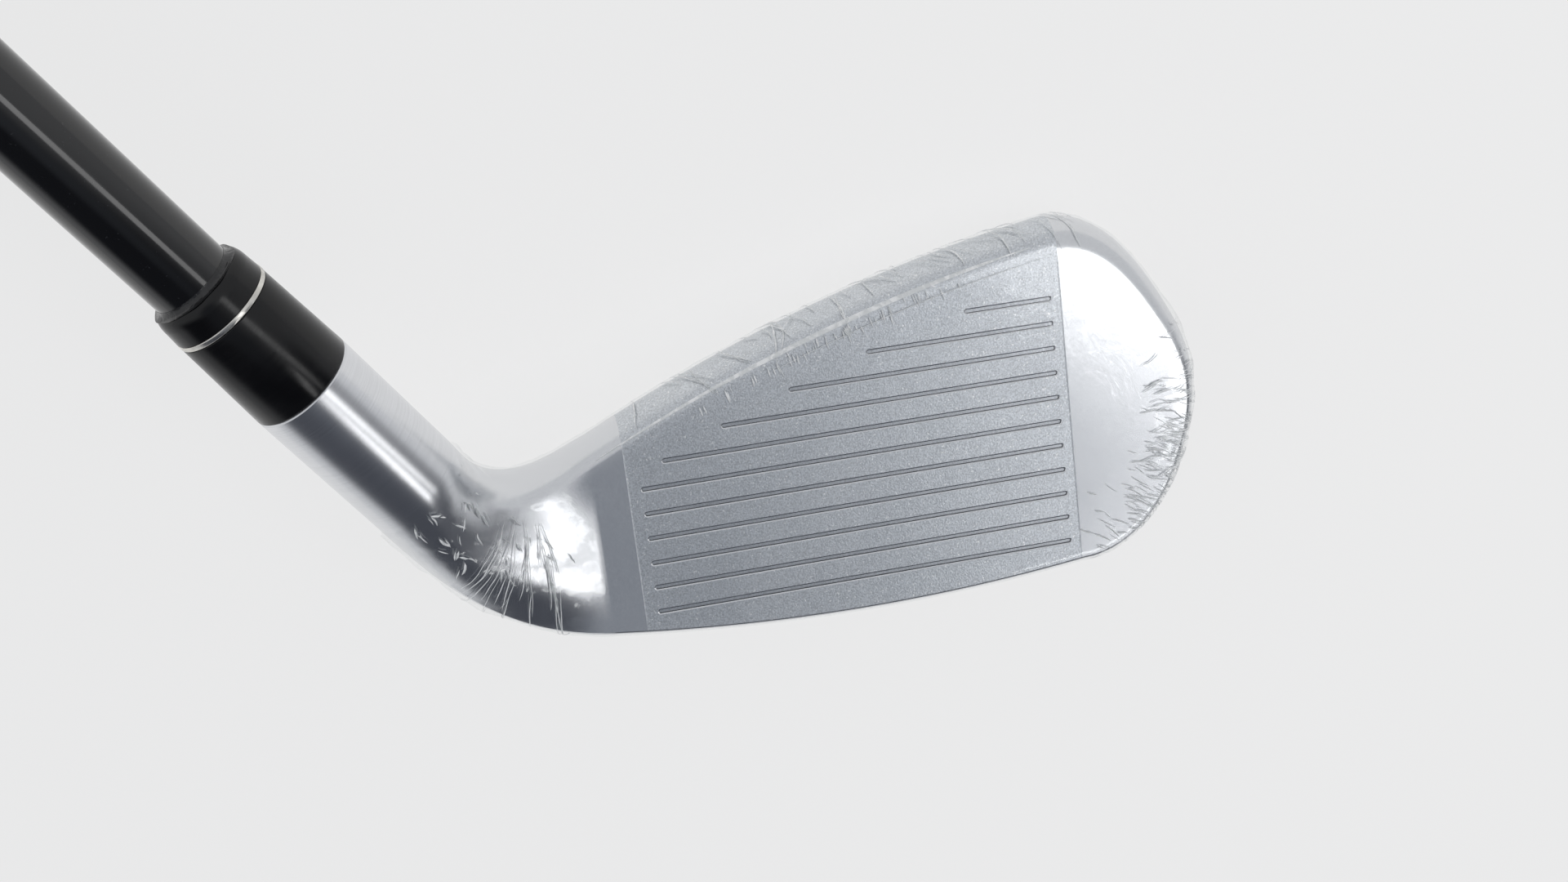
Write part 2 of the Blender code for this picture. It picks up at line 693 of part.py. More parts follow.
def make_grip():
    """The tape sleeve on the shaft, the rubber grip over it and the end cap."""
    low, high = grip_start(), shaft_butt()
    tape_in = {s: shaft_radius(s) + CLEARANCE for s in (low, high)}
    tape_out = {s: r + TAPE_THICKNESS for s, r in tape_in.items()}
    tape = [(tape_out[high], high), (tape_out[low], low), (tape_in[low], low), (tape_in[high], high)]
    turned("grip_tape", tape, material("tape_tan", (0.55, 0.47, 0.35), 0.85, 0.0))
    mouth, butt = GRIP_MOUTH_DIAMETER / 2, GRIP_BUTT_DIAMETER / 2
    grip = [(butt, high), (mouth, low + GRIP_MOUTH_ROUND), (mouth - GRIP_MOUTH_ROUND, low)]
    grip += [(tape_out[low] + CLEARANCE, low), (tape_out[high] + CLEARANCE, high)]
    turned("grip_sleeve", grip, material("grip_rubber", (0.015, 0.015, 0.016), 0.75, 0.0))
    cap_low = high + CLEARANCE
    cap_high = cap_low + CAP_THICKNESS
    vent = CAP_VENT_DIAMETER / 2
    cap_edge = CAP_DIAMETER / 2
    cap = [(vent, cap_high)]
    for t in shares(CAP_ROUND_COUNT):
        turn = math.pi / 2 * t
        radius = cap_edge - CAP_ROUND * (1 - math.sin(turn))
        cap.append((radius, cap_high - CAP_ROUND * (1 - math.cos(turn))))
    cap += [(cap_edge, cap_low), (vent, cap_low)]
    turned("grip_cap", cap, material("cap_rubber", (0.015, 0.015, 0.016), 0.7, 0.0))


# How the club lies on the floor

def club_points():
    """Every corner of the shown pieces in the address frame, in metres."""
    bpy.context.view_layer.update()
    shown = [o for o in bpy.data.objects if o.type == "MESH" and not o.hide_render]
    return [o.matrix_local @ v.co for o in shown for v in o.data.vertices]


def centre_of_mass():
    """The club's centre of mass in the address frame, in metres, from its three heavy pieces."""
    section = blade_loop((PLATE_HEEL_U + TOE_CENTRE_U) / 2)
    head = sum(section, Vector()) / len(section)
    shaft = on_axis((shaft_tip() + shaft_butt()) / 2)
    grip = on_axis((grip_start() + shaft_butt()) / 2)
    total = HEAD_MASS + SHAFT_MASS + GRIP_MASS
    return (head * HEAD_MASS + shaft * SHAFT_MASS + grip * GRIP_MASS) / total * MM


def resting_turn(points, mass_point):
    """The turn that lays the club on the hull facet that carries it, face upwards, shaft along -X."""
    hull = bmesh.new()
    for p in points:
        hull.verts.new(p)
    bmesh.ops.convex_hull(hull, input=hull.verts)
    best_facing, best_normal = -2.0, None
    for facet in hull.faces:
        corners = [v.co for v in facet.verts]
        normal = (corners[1] - corners[0]).cross(corners[2] - corners[0]).normalized()
        if normal.dot(corners[0] - mass_point) < 0:
            normal.negate()
        foot = mass_point + normal * normal.dot(corners[0] - mass_point)
        facing = -normal.dot(FACE_NORMAL)
        if facing > best_facing and intersect_point_tri(foot, *corners[:3]):
            best_facing, best_normal = facing, normal
    hull.free()
    lay = best_normal.rotation_difference(Vector((0.0, 0.0, -1.0))).to_matrix()
    along = lay @ AXIS_DIRECTION
    heading = math.pi - math.atan2(along.y, along.x)
    return Matrix.Rotation(heading, 3, "Z") @ lay


def lay_on_floor():
    """Turns the whole club to rest on the floor, centred over the origin."""
    points = club_points()
    turn = resting_turn(points, centre_of_mass())
    turned_points = [turn @ p for p in points]
    low = [min(p[i] for p in turned_points) for i in range(3)]
    high = [max(p[i] for p in turned_points) for i in range(3)]
    shift = Vector((-(low[0] + high[0]) / 2, -(low[1] + high[1]) / 2, -low[2]))
    POSE.matrix_world = Matrix.Translation(shift) @ turn.to_4x4()


def main():
    make_head_body()
    make_face_plate()
    make_sole_weight()
    make_head_film()
    make_ferrule()
    make_shaft()
    make_grip()
    lay_on_floor()


for old in list(bpy.data.objects):
    bpy.data.objects.remove(old, do_unlink=True)
POSE = bpy.data.objects.new("club_pose", None)
bpy.context.scene.collection.objects.link(POSE)
main()
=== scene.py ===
"""Looks of a left-handed hybrid golf club that lies face up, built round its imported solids.

Lengths in the drawing are millimetres in the head's address frame: +X to the toe, +Z up and the
striking face towards -Y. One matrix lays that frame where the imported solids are. Pieces on the shaft
are drawn about Z, with heights measured along the shaft.
"""

import math
import random
from typing import NamedTuple

import bmesh
import bpy
from bpy.props import FloatProperty, FloatVectorProperty, IntProperty, PointerProperty
from mathutils import Matrix, Quaternion, Vector, noise
from mathutils.bvhtree import BVHTree


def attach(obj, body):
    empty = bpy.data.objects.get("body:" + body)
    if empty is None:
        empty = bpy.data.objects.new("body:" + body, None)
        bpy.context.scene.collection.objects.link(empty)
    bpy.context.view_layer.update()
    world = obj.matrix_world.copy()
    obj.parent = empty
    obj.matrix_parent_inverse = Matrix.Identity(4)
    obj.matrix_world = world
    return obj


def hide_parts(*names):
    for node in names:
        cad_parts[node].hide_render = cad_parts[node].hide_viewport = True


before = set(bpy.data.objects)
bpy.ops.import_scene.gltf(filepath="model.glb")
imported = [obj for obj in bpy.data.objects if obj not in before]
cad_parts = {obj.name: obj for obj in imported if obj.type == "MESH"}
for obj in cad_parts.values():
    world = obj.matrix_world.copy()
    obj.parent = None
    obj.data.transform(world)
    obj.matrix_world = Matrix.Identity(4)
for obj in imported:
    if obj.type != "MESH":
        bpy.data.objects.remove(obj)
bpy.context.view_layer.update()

bl_info = {
    "name": "Hybrid golf club",
    "version": (1, 0, 0),
    "blender": (4, 5, 0),
    "location": "View3D > Sidebar > Club",
    "description": "Builds the fine surface of a hybrid golf club round its packed solids",
    "category": "Object",
}

MM = 0.001

# Angles of the club and the outline of its face, as in the solids
LIE = math.radians(58.4)
LOFT = math.radians(20.6)
TOE_CENTRE_U = 1.4
TOE_CENTRE_V = -13.5
BLADE_HEEL_U = -58.0
TOPLINE_HEEL_V = -11.1
TOPLINE_TOE_V = 7.3
TOPLINE_CROWN = 2.45
LEADING_EDGE_V = -34.7
LEADING_EDGE_LOW_U = -25.0
LEADING_EDGE_CURVE = 0.0021
TOE_RADIUS = 15.6
TOE_UPPER_SQUARENESS = 5.5
TOE_LOWER_SQUARENESS = 3.6

# Thickness of the blade
TOPLINE_THICKNESS = 9.0
RIM_HEIGHT = 2.2
RIM_INSET = 0.9
RIM_INSET_TOE = 1.6
SOLE_WIDTH = 22.0
SOLE_WIDTH_HEEL = 16.5
SOLE_WIDTH_TOE = 17.0
SOLE_CAMBER = 1.6
SOLE_BACK_RISE = 1.2
TRAILING_EDGE_HEIGHT = 4.5
LEADING_EDGE_RADIUS = 1.3
NOSE_DROP = LEADING_EDGE_RADIUS * math.sin(math.pi / 4)

# Hosel and neck, along the shaft axis from the height of the top score line
HOSEL_RADIUS = 6.35
HOSEL_TOP = 9.65
HOSEL_CHAMFER = 0.22
NECK_START = -8.0
CROTCH_DEPTH = 1.9
BORE_RADIUS = 5.0
BORE_DEPTH = 26.0
AXIS_DIRECTION = Vector((-math.cos(LIE), 0.0, math.sin(LIE)))
AXIS_SIDE = Vector((math.sin(LIE), 0.0, math.cos(LIE)))
AXIS_ORIGIN = Vector((-83.1, -6.5, 0.0))
FACE_NORMAL = Vector((0.0, -math.cos(LOFT), math.sin(LOFT)))
FACE_UP = Vector((0.0, math.sin(LOFT), math.cos(LOFT)))
TO_TOE = Vector((1.0, 0.0, 0.0))

# Front of the heel, which falls off a little more steeply and lower down than in the solids
HEEL_SLOPE = 2.6
HEEL_SLOPE_TURN = 0.6

# Blasted band between the heel line and the toe line
BAND_HEEL_U = -54.0
BAND_TOE_U = 1.25
BAND_STEP_WIDTH = 0.12
BAND_DROP = 0.03

# Score lines
SCORE_PITCH = 3.086
SCORE_LENGTH = 52.35
SCORE_TOP_MARGIN = 5.1
SCORE_LIP = 0.14
SCORE_LIP_DEPTH = 0.06
SCORE_WALL_SLOPE = 0.05
SCORE_END_POINTS = 9
SCORE_CUTTER_REACH = 0.4

# Ferrule and shaft, heights along the shaft axis
CLEARANCE = 0.3
FERRULE_BODY_LENGTH = 11.3
FERRULE_TAPER = 0.034
TRIM_RING_WIDTH = 0.6
TRIM_RING_PROUD = 0.05
COLLAR_HEIGHT = 3.2
COLLAR_ROUND = 1.7
COLLAR_LAND = 0.1
COLLAR_POINTS = 17
BEAD_WIDTH = 0.75
BEAD_GAP = 0.02
BEAD_SINK = 0.05
BEAD_POINTS = 9
BEAD_UNEVENNESS = 0.22
BEAD_LUMPS = 2.5
JOINT_LINE = 0.06
EDGE_ROUND = 0.12
EDGE_POINTS = 5
FERRULE_LOW = HOSEL_TOP + CLEARANCE
RING_LOW = FERRULE_LOW + FERRULE_BODY_LENGTH + CLEARANCE
RING_HIGH = RING_LOW + TRIM_RING_WIDTH
COLLAR_TOP = RING_HIGH + CLEARANCE + COLLAR_HEIGHT
CLUB_LENGTH = 1000.0
SHAFT_TIP_RADIUS = 4.7
SHAFT_BUTT_RADIUS = 7.6
SHAFT_PARALLEL_TIP = 110.0
SHAFT_WALL = 1.4
SHAFT_SECTIONS = 25
SHAFT_TIP_GAP = 1.8
SHAFT_TIP = HOSEL_TOP - BORE_DEPTH + SHAFT_TIP_GAP

# Grip; the cap's ring is a shallow groove in its end, as radii and depths
GRIP_LENGTH = 270.0
GRIP_MOUTH_RADIUS = 9.7
GRIP_BUTT_RADIUS = 13.0
GRIP_MOUTH_ROUND = 1.2
GRIP_MOUTH_POINTS = 6
GRIP_SIDES = 144
GRIP_ROWS = 380
GRIP_PLAIN_MOUTH = 14.0
GRIP_PLAIN_BUTT = 9.0
GRIP_LOZENGES = 12
GRIP_GROOVE_SHARE = 0.2
GRIP_RING_WIDTH = 1.6
GRIP_TAPE_THICKNESS = 0.35
CAP_RADIUS = 13.5
CAP_THICKNESS = 5.5
CAP_ROUND = 2.0
CAP_POINTS = 11
CAP_FOOT_CHAMFER = 0.3
CAP_VENT_RADIUS = 1.5
CAP_VENT_CHAMFER = 0.4
CAP_RING = ((6.2, 0.0), (6.6, 0.35), (7.6, 0.35), (8.0, 0.0))
SHAFT_BUTT = (
    (LEADING_EDGE_V * math.cos(LOFT) - SOLE_CAMBER) / math.sin(LIE) + CLUB_LENGTH - CAP_THICKNESS - CLEARANCE
)
GRIP_LOW = SHAFT_BUTT - GRIP_LENGTH

# Camera of the photograph, in the address frame
CAMERA_PLACE = Vector((-69.296, -187.713, 117.318))
CAMERA_RIGHT = Vector((0.97560, -0.21513, -0.04386))
CAMERA_UP = Vector((0.15764, 0.54731, 0.82195))
CAMERA_SENSOR = 36.0
CAMERA_NEAR_LIMIT = 0.005

ROUND_SIDES = 96
SHARP_ANGLE = math.radians(32)
CUT_SHARP_ANGLE = math.radians(17)


class Fineness(NamedTuple):
    """How many points and sections draw the head's skin."""

    face: int
    rim: int
    back: int
    hosel: int
    neck: int
    blade: int
    toe: int


HEAD_FINENESS = Fineness(9, 25, 9, 8, 44, 40, 48)
FILM_FINENESS = Fineness(25, 25, 17, 2, 56, 90, 64)
NOSE_POINTS = 7
SOLE_CORNER_POINTS = 6


# Small helpers

def mix(a, b, t):
    """The value at share t between a and b."""
    return a + (b - a) * t


def smooth(t):
    """A share that leaves 0 and reaches 1 gently."""
    return t * t * (3 - 2 * t)


def ramp(value, low, high):
    """A gentle share that is 0 up to low and 1 from high on."""
    return smooth(min(1.0, max(0.0, (value - low) / (high - low))))


def shares(count):
    """Evenly spaced shares from 0 to 1."""
    return [i / (count - 1) for i in range(count)]


def quarter_round(count):
    """Sines and cosines of evenly spaced angles from 0 to 90 degrees."""
    return [(math.sin(math.pi / 2 * t), math.cos(math.pi / 2 * t)) for t in shares(count)]


def on_face(u, v, depth=0.0):
    """A point of the address frame from face coordinates and the depth behind the face."""
    y = v * math.sin(LOFT) + depth * math.cos(LOFT)
    z = v * math.cos(LOFT) - depth * math.sin(LOFT)
    return Vector((u, y, z))


def on_axis(s):
    """A point of the address frame at height s on the shaft axis."""
    return AXIS_ORIGIN + AXIS_DIRECTION * s


def new_object(name, data):
    """An object that is in the scene."""
    made = bpy.data.objects.new(name, data)
    bpy.context.scene.collection.objects.link(made)
    return made


def face_outwards(mesh):
    """Turns all faces of a closed mesh outwards."""
    bmesh.ops.recalc_face_normals(mesh, faces=mesh.faces)
    if mesh.calc_volume(signed=True) < 0:
        bmesh.ops.reverse_faces(mesh, faces=mesh.faces)


def stitch(mesh, near, far, closed=True):
    """Faces between two rows of corners, which may share some; a closed row ends where it starts."""
    made = []
    for i in range(len(near) if closed else len(near) - 1):
        j = (i + 1) % len(near)
        corners = list(dict.fromkeys((near[i], near[j], far[j], far[i])))
        if len(corners) > 2:
            made.append(mesh.faces.new(corners))
    return made


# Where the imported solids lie

def middle_of(node):
    """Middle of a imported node's corners, each counted once."""
    corners = {tuple(round(c, 6) for c in v.co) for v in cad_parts[node].data.vertices}
    return sum((Vector(c) for c in corners), Vector()) / len(corners)


def plate_normal():
    """Direction of the striking plate's largest upward facet."""
    facets = [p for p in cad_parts["face_plate"].data.polygons if p.normal.z > 0]
    return max(facets, key=lambda p: p.area).normal.copy()


def axes_from(first, second):
    """A turn whose columns are the first direction, the part of the second square to it, and the third."""
    third = first.cross(second).normalized()
    return Matrix((first, third.cross(first), third)).transposed()


def lay_matrix():
    """The matrix that lays the address frame, in metres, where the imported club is."""
    shaft_up = (middle_of("grip_cap") - middle_of("ferrule_body")).normalized()
    turn = axes_from(shaft_up, plate_normal()) @ axes_from(AXIS_DIRECTION, FACE_NORMAL).transposed()
    drawn = on_axis(FERRULE_LOW + FERRULE_BODY_LENGTH / 2) * MM
    return Matrix.Translation(middle_of("ferrule_body") - turn @ drawn) @ turn.to_4x4()


HEAD_PLACE = lay_matrix()
SHAFT_PLACE = HEAD_PLACE @ Matrix.Translation(AXIS_ORIGIN * MM) @ Matrix.Rotation(LIE - math.pi / 2, 4, "Y")


# Settings that a user would change

def length_property(name, description, millimetres):
    """A length that the panel shows with its unit."""
    return FloatProperty(name=name, description=description, default=millimetres * MM, unit="LENGTH")


def colour_property(name, description, default):
    """A colour that the panel shows as a swatch."""
    return FloatVectorProperty(
        name=name, description=description, default=default, size=3, subtype="COLOR", min=0.0, max=1.0
    )


class ClubShape(bpy.types.PropertyGroup):
    """Sizes of the club's fine surface."""

    score_lines: IntProperty(name="Score lines", description="Number of score lines", default=11, min=1)
    score_width: length_property("Score width", "Width of a score line below its lip", 0.46)
    score_depth: length_property("Score depth", "Depth of a score line", 0.26)
    film_gap: length_property("Film gap", "Gap between the head and its film", 0.16)
    film_thickness: length_property("Film thickness", "Thickness of the film", 0.05)
    film_slack: length_property("Film slack", "How far loose film stands off", 0.3)
    grip_groove: length_property("Grip groove", "Depth of the grip's grooves", 0.55)
    grip_pitch: length_property("Grip pitch", "Length of one lozenge of the grip", 9.0)


class ClubFinish(bpy.types.PropertyGroup):
    """Colours of the club's finishes."""

    blasted: colour_property("Blasted steel", "Colour of the blasted band", (0.635, 0.66, 0.69))
    satin: colour_property("Satin steel", "Colour of the brushed steel", (0.74, 0.75, 0.77))
    score: colour_property("Score steel", "Colour of the score lines' floors", (0.56, 0.58, 0.61))
    # The walls' colour is painted shade: far darker than the milled steel, for the shade inside the grooves.
    painted_shade_score_wall: colour_property("Score walls", "Colour of the score lines' walls", (0.10, 0.105, 0.11))
    # The creases take this colour made lighter, as painted glints.
    film: colour_property("Film", "Colour of the film", (0.86, 0.88, 0.88))
    ferrule: colour_property("Ferrule", "Colour of the ferrule", (0.003, 0.003, 0.0035))
    trim: colour_property("Trim", "Colour of the trim ring", (0.82, 0.80, 0.75))
    shaft: colour_property("Shaft", "Colour of the shaft's paint", (0.003, 0.003, 0.0035))
    adhesive: colour_property("Adhesive", "Colour of the adhesive bead", (0.010, 0.010, 0.011))
    rubber: colour_property("Rubber", "Colour of the grip", (0.018, 0.018, 0.019))
    tape: colour_property("Tape", "Colour of the tape under the grip", (0.55, 0.47, 0.35))
    tungsten: colour_property("Tungsten", "Colour of the sole weight", (0.33, 0.33, 0.34))
    brass: colour_property("Brass", "Colour of the weight pin", (0.70, 0.52, 0.22))
    cork: colour_property("Cork", "Colour of the plug", (0.45, 0.30, 0.17))


class ClubStage(bpy.types.PropertyGroup):
    """Floor, light and camera."""

    lens: FloatProperty(name="Lens", description="Focal length", default=43.39, unit="CAMERA")
    floor: colour_property("Floor", "Colour of the floor and the background", (0.91, 0.91, 0.91))
    walls: colour_property("Walls", "Light from the pale walls", (0.66, 0.67, 0.69))
    ceiling: colour_property("Ceiling", "Light from straight above", (0.225, 0.245, 0.28))
    shade: colour_property("Shade", "Light from the dark side of the room", (0.06, 0.065, 0.08))
    lamp_power: FloatProperty(
        name="Lamp power", description="Power of the soft lamps in watts per square metre", default=6.0
    )


# Outline of the face

def blade_share(u):
    """Share of the way from the heel end of the blade to the toe centre."""
    return (u - BLADE_HEEL_U) / (TOE_CENTRE_U - BLADE_HEEL_U)


def topline_v(u):
    """Height of the face's upper edge."""
    t = blade_share(u)
    return mix(TOPLINE_HEEL_V, TOPLINE_TOE_V, t) + 4 * TOPLINE_CROWN * t * (1 - t)


def leading_edge_v(u):
    """Height of the face's lower edge."""
    return LEADING_EDGE_V + LEADING_EDGE_CURVE * (u - LEADING_EDGE_LOW_U) ** 2


def middle_v(u):
    """Height that parts the upper from the lower half of a section."""
    heel_middle = (TOPLINE_HEEL_V + leading_edge_v(BLADE_HEEL_U)) / 2
    return mix(heel_middle, TOE_CENTRE_V, smooth(blade_share(u)))


def sole_width(u):
    """Width of the sole from the leading edge to the trailing edge."""
    t = blade_share(u)
    middle = SOLE_WIDTH - (SOLE_WIDTH_HEEL + SOLE_WIDTH_TOE) / 2
    return mix(SOLE_WIDTH_HEEL, SOLE_WIDTH_TOE, t) + 4 * middle * t * (1 - t)


def toe_reach(angle):
    """Distance from the toe centre to the face's edge, at an angle from straight out to the toe."""
    lift = abs(math.sin(angle))
    if angle >= 0:
        end = topline_v(TOE_CENTRE_U) - TOE_CENTRE_V
        return mix(TOE_RADIUS, end, lift ** TOE_UPPER_SQUARENESS)
    end = TOE_CENTRE_V - leading_edge_v(TOE_CENTRE_U)
    return mix(TOE_RADIUS, end, lift ** TOE_LOWER_SQUARENESS)


# Half sections: lists of (depth behind the face, reach from the section's middle height)

def rim_inset(u):
    """How far below the face's edge its rounding starts: more on the toe than on the blasted band."""
    return mix(RIM_INSET, RIM_INSET_TOE, ramp(u, BAND_TOE_U - BAND_STEP_WIDTH, TOE_CENTRE_U))


def upper_half(u, fine):
    """From the face's middle up over the topline to the middle of the back."""
    reach = topline_v(u) - middle_v(u)
    half = TOPLINE_THICKNESS / 2
    face = [(0.0, (reach - rim_inset(u)) * t) for t in shares(fine.face)]
    rim = []
    for t in shares(fine.rim)[1:]:
        turn = math.pi * t
        foot = reach - rim_inset(u) * (1 + math.cos(turn)) / 2
        top = reach + RIM_HEIGHT
        rim.append((half - half * math.cos(turn), mix(foot, top, math.sin(turn))))
    middle = back_depth(u)
    back = [(mix(TOPLINE_THICKNESS, middle, t), reach * (1 - t)) for t in shares(fine.back)[1:]]
    return face + rim + back


def sole_points(u, count):
    """The sole from the leading edge to the top of the trailing edge, as (y, z) from the leading edge."""
    width = sole_width(u)
    r = LEADING_EDGE_RADIUS
    points = []
    for sine, cosine in quarter_round(NOSE_POINTS + 1)[1:]:
        points.append((r * (1 - cosine), -NOSE_DROP * sine))
    flat_count = count - NOSE_POINTS - SOLE_CORNER_POINTS - 1
    for t in shares(flat_count + 1)[1:]:
        drop = SOLE_CAMBER * math.sin(math.pi * t) - SOLE_BACK_RISE * t ** 3
        points.append((mix(r, width - r, t), -NOSE_DROP - drop))
    corner_z = points[-1][1]
    for sine, cosine in quarter_round(SOLE_CORNER_POINTS + 1)[1:]:
        points.append((width - r + r * sine, corner_z + r * (1 - cosine)))
    points.append((width, corner_z + TRAILING_EDGE_HEIGHT))
    return points


def lower_half(u, fine):
    """From the face's middle down round the leading edge and the sole to the middle of the back."""
    reach = middle_v(u) - leading_edge_v(u)
    face = [(0.0, reach * t) for t in shares(fine.face)]
    rim = []
    for y, z in sole_points(u, fine.rim - 1):
        depth = y * math.cos(LOFT) - z * math.sin(LOFT)
        rise = y * math.sin(LOFT) + z * math.cos(LOFT)
        rim.append((depth, reach - rise))
    middle = back_depth(u)
    last = rim[-1]
    back = [(mix(last[0], middle, t), mix(last[1], 0.0, t)) for t in shares(fine.back)[1:]]
    return face + rim + back


def back_depth(u):
    """Depth of the back at the section's middle height."""
    y, z = sole_points(u, HEAD_FINENESS.rim - 1)[-1]
    bottom_depth = y * math.cos(LOFT) - z * math.sin(LOFT)
    bottom_v = leading_edge_v(u) + y * math.sin(LOFT) + z * math.cos(LOFT)
    share = (middle_v(u) - bottom_v) / (topline_v(u) - bottom_v)
    return mix(bottom_depth, TOPLINE_THICKNESS, share)


# Closed sections from the hosel to the toe

def blade_loop(u, fine):
    """Closed section of the blade: up the face and topline, down the back, forward along the sole."""
    middle = middle_v(u)
    loop = [on_face(u, middle + reach, depth) for depth, reach in upper_half(u, fine)]
    loop += [on_face(u, middle - reach, depth) for depth, reach in reversed(lower_half(u, fine)[1:-1])]
    return loop


def sunk_loop(u, fine):
    """A blade section whose face and topline lie a little lower, as the blasted band does."""
    loop = blade_loop(u, fine)
    sunk = list(loop)
    for i in range(len(loop)):
        if in_band(i, fine) and in_band(i - 1, fine):
            along = loop[(i + 1) % len(loop)] - loop[i - 1]
            sunk[i] = loop[i] - TO_TOE.cross(along).normalized() * BAND_DROP
    return sunk


def half_count(fine):
    """Points of a half section."""
    return fine.face + fine.rim + fine.back - 2


def in_band(i, fine):
    """Whether the section's side after point i belongs to the face or the topline."""
    whole = 2 * half_count(fine) - 2
    return i % whole < fine.face + fine.rim - 2 or i % whole >= whole - fine.face + 1


def hosel_loop_angles(fine):
    """Angles on the hosel's circle that match the points of a blade section."""
    quarter = math.pi / 4
    upper = [math.pi - quarter * t for t in shares(fine.face)]
    upper += [mix(3 * quarter, quarter, t) for t in shares(fine.rim)[1:]]
    upper += [quarter * (1 - t) for t in shares(fine.back)[1:]]
    return upper + [-a for a in reversed(upper[1:-1])]


def hosel_loop(s, fine, radius=HOSEL_RADIUS):
    """Closed round section of the hosel at height s."""
    centre = on_axis(s)
    return [
        centre + Vector((0.0, radius * math.cos(a), 0.0)) + AXIS_SIDE * (radius * math.sin(a))
        for a in hosel_loop_angles(fine)
    ]


def follow(start, end, end_slope, t):
    """A cubic from start, level, to end with the given slope."""
    return (
        start * (2 * t ** 3 - 3 * t ** 2 + 1)
        + end * (3 * t ** 2 - 2 * t ** 3)
        + end_slope * (t ** 3 - t ** 2)
    )


def slope_at_heel(height):
    """Slope of an edge of the face at the heel end of the blade, in the upright plane."""
    step = 0.05
    return (height(BLADE_HEEL_U + step) - height(BLADE_HEEL_U)) / step * math.cos(LOFT)


def neck_loops(fine, first_share):
    """Sections that fan from the hosel to the heel end of the blade about a line in front of the crotch."""
    start = on_axis(NECK_START)
    fan_reach = (BLADE_HEEL_U - start.x) / AXIS_SIDE.x
    fan = start + AXIS_SIDE * fan_reach
    blade = [(p.y, p.z - fan.z) for p in blade_loop(BLADE_HEEL_U, fine)]
    angles = hosel_loop_angles(fine)
    hosel = [
        (AXIS_ORIGIN.y + HOSEL_RADIUS * math.cos(a), HOSEL_RADIUS * math.sin(a) - fan_reach) for a in angles
    ]
    hosel_top, hosel_low = max(h for _, h in hosel), min(h for _, h in hosel)
    blade_top, blade_low = max(h for _, h in blade), min(h for _, h in blade)
    loops = []
    for t in [mix(first_share, 1.0, t) for t in shares(fine.neck)]:
        top = follow(hosel_top, blade_top, -slope_at_heel(topline_v) * blade_top * LIE, t)
        low = follow(hosel_low, blade_low, -slope_at_heel(leading_edge_v) * blade_low * LIE, t)
        hump = 16 * (t * (1 - t)) ** 2
        top -= CROTCH_DEPTH * hump
        turn = LIE * (1 - t)
        outward = Vector((math.sin(turn), 0.0, math.cos(turn)))
        loop = []
        for angle, (hosel_y, hosel_height), (blade_y, blade_height) in zip(angles, hosel, blade):
            hosel_share = (hosel_height - hosel_low) / (hosel_top - hosel_low)
            blade_part = (blade_height - blade_low) / (blade_top - blade_low)
            share = mix(hosel_share, blade_part, smooth(t))
            front = max(0.0, -math.cos(angle - HEEL_SLOPE_TURN)) ** 2
            y = follow(hosel_y, blade_y, HEEL_SLOPE * front * (blade_y - hosel_y), t)
            loop.append(Vector((fan.x, y, fan.z)) + outward * mix(low, top, share))
        loops.append(loop)
    return loops


def toe_chains(fine):
    """Half sections that fan round the toe centre, from the topline to the sole."""
    upper = upper_half(TOE_CENTRE_U, fine)
    lower = lower_half(TOE_CENTRE_U, fine)
    top_reach = topline_v(TOE_CENTRE_U) - TOE_CENTRE_V
    low_reach = TOE_CENTRE_V - leading_edge_v(TOE_CENTRE_U)
    chains = []
    for t in shares(fine.toe)[1:-1]:
        angle = math.pi / 2 - math.pi * t
        blend = smooth(t)
        chain = []
        for (upper_depth, upper_reach), (lower_depth, lower_reach) in zip(upper, lower):
            edge_upper = min(upper_reach, top_reach) / top_reach
            edge_lower = min(lower_reach, low_reach) / low_reach
            proud = mix(max(0.0, upper_reach - top_reach), max(0.0, lower_reach - low_reach), blend)
            distance = toe_reach(angle) * mix(edge_upper, edge_lower, blend) + proud
            u = TOE_CENTRE_U + distance * math.cos(angle)
            v = TOE_CENTRE_V + distance * math.sin(angle)
            chain.append(on_face(u, v, mix(upper_depth, lower_depth, blend)))
        chains.append(chain)
    return chains


def head_skin(loops, fine, band_rows=()):
    """A closed skin over the loops and round the toe, and its cap over the first loop.

    The face and the topline of band rows get finish 1.
    """
    mesh = bmesh.new()
    rings = [[mesh.verts.new(p) for p in loop] for loop in loops]
    for row, (near, far) in enumerate(zip(rings, rings[1:])):
        for i, side in enumerate(stitch(mesh, near, far)):
            if row in band_rows and in_band(i, fine):
                side.material_index = 1
    last = rings[-1]
    half = half_count(fine)
    upper = last[:half]
    lower = [last[0]] + list(reversed(last[half - 1:]))
    chains = [upper]
    for points in toe_chains(fine):
        chains.append([upper[0]] + [mesh.verts.new(p) for p in points[1:-1]] + [upper[-1]])
    chains.append(lower)
    for near, far in zip(chains, chains[1:]):
        stitch(mesh, near, far, closed=False)
    cap = mesh.faces.new(rings[0])
    face_outwards(mesh)
    return mesh, cap


# Node trees

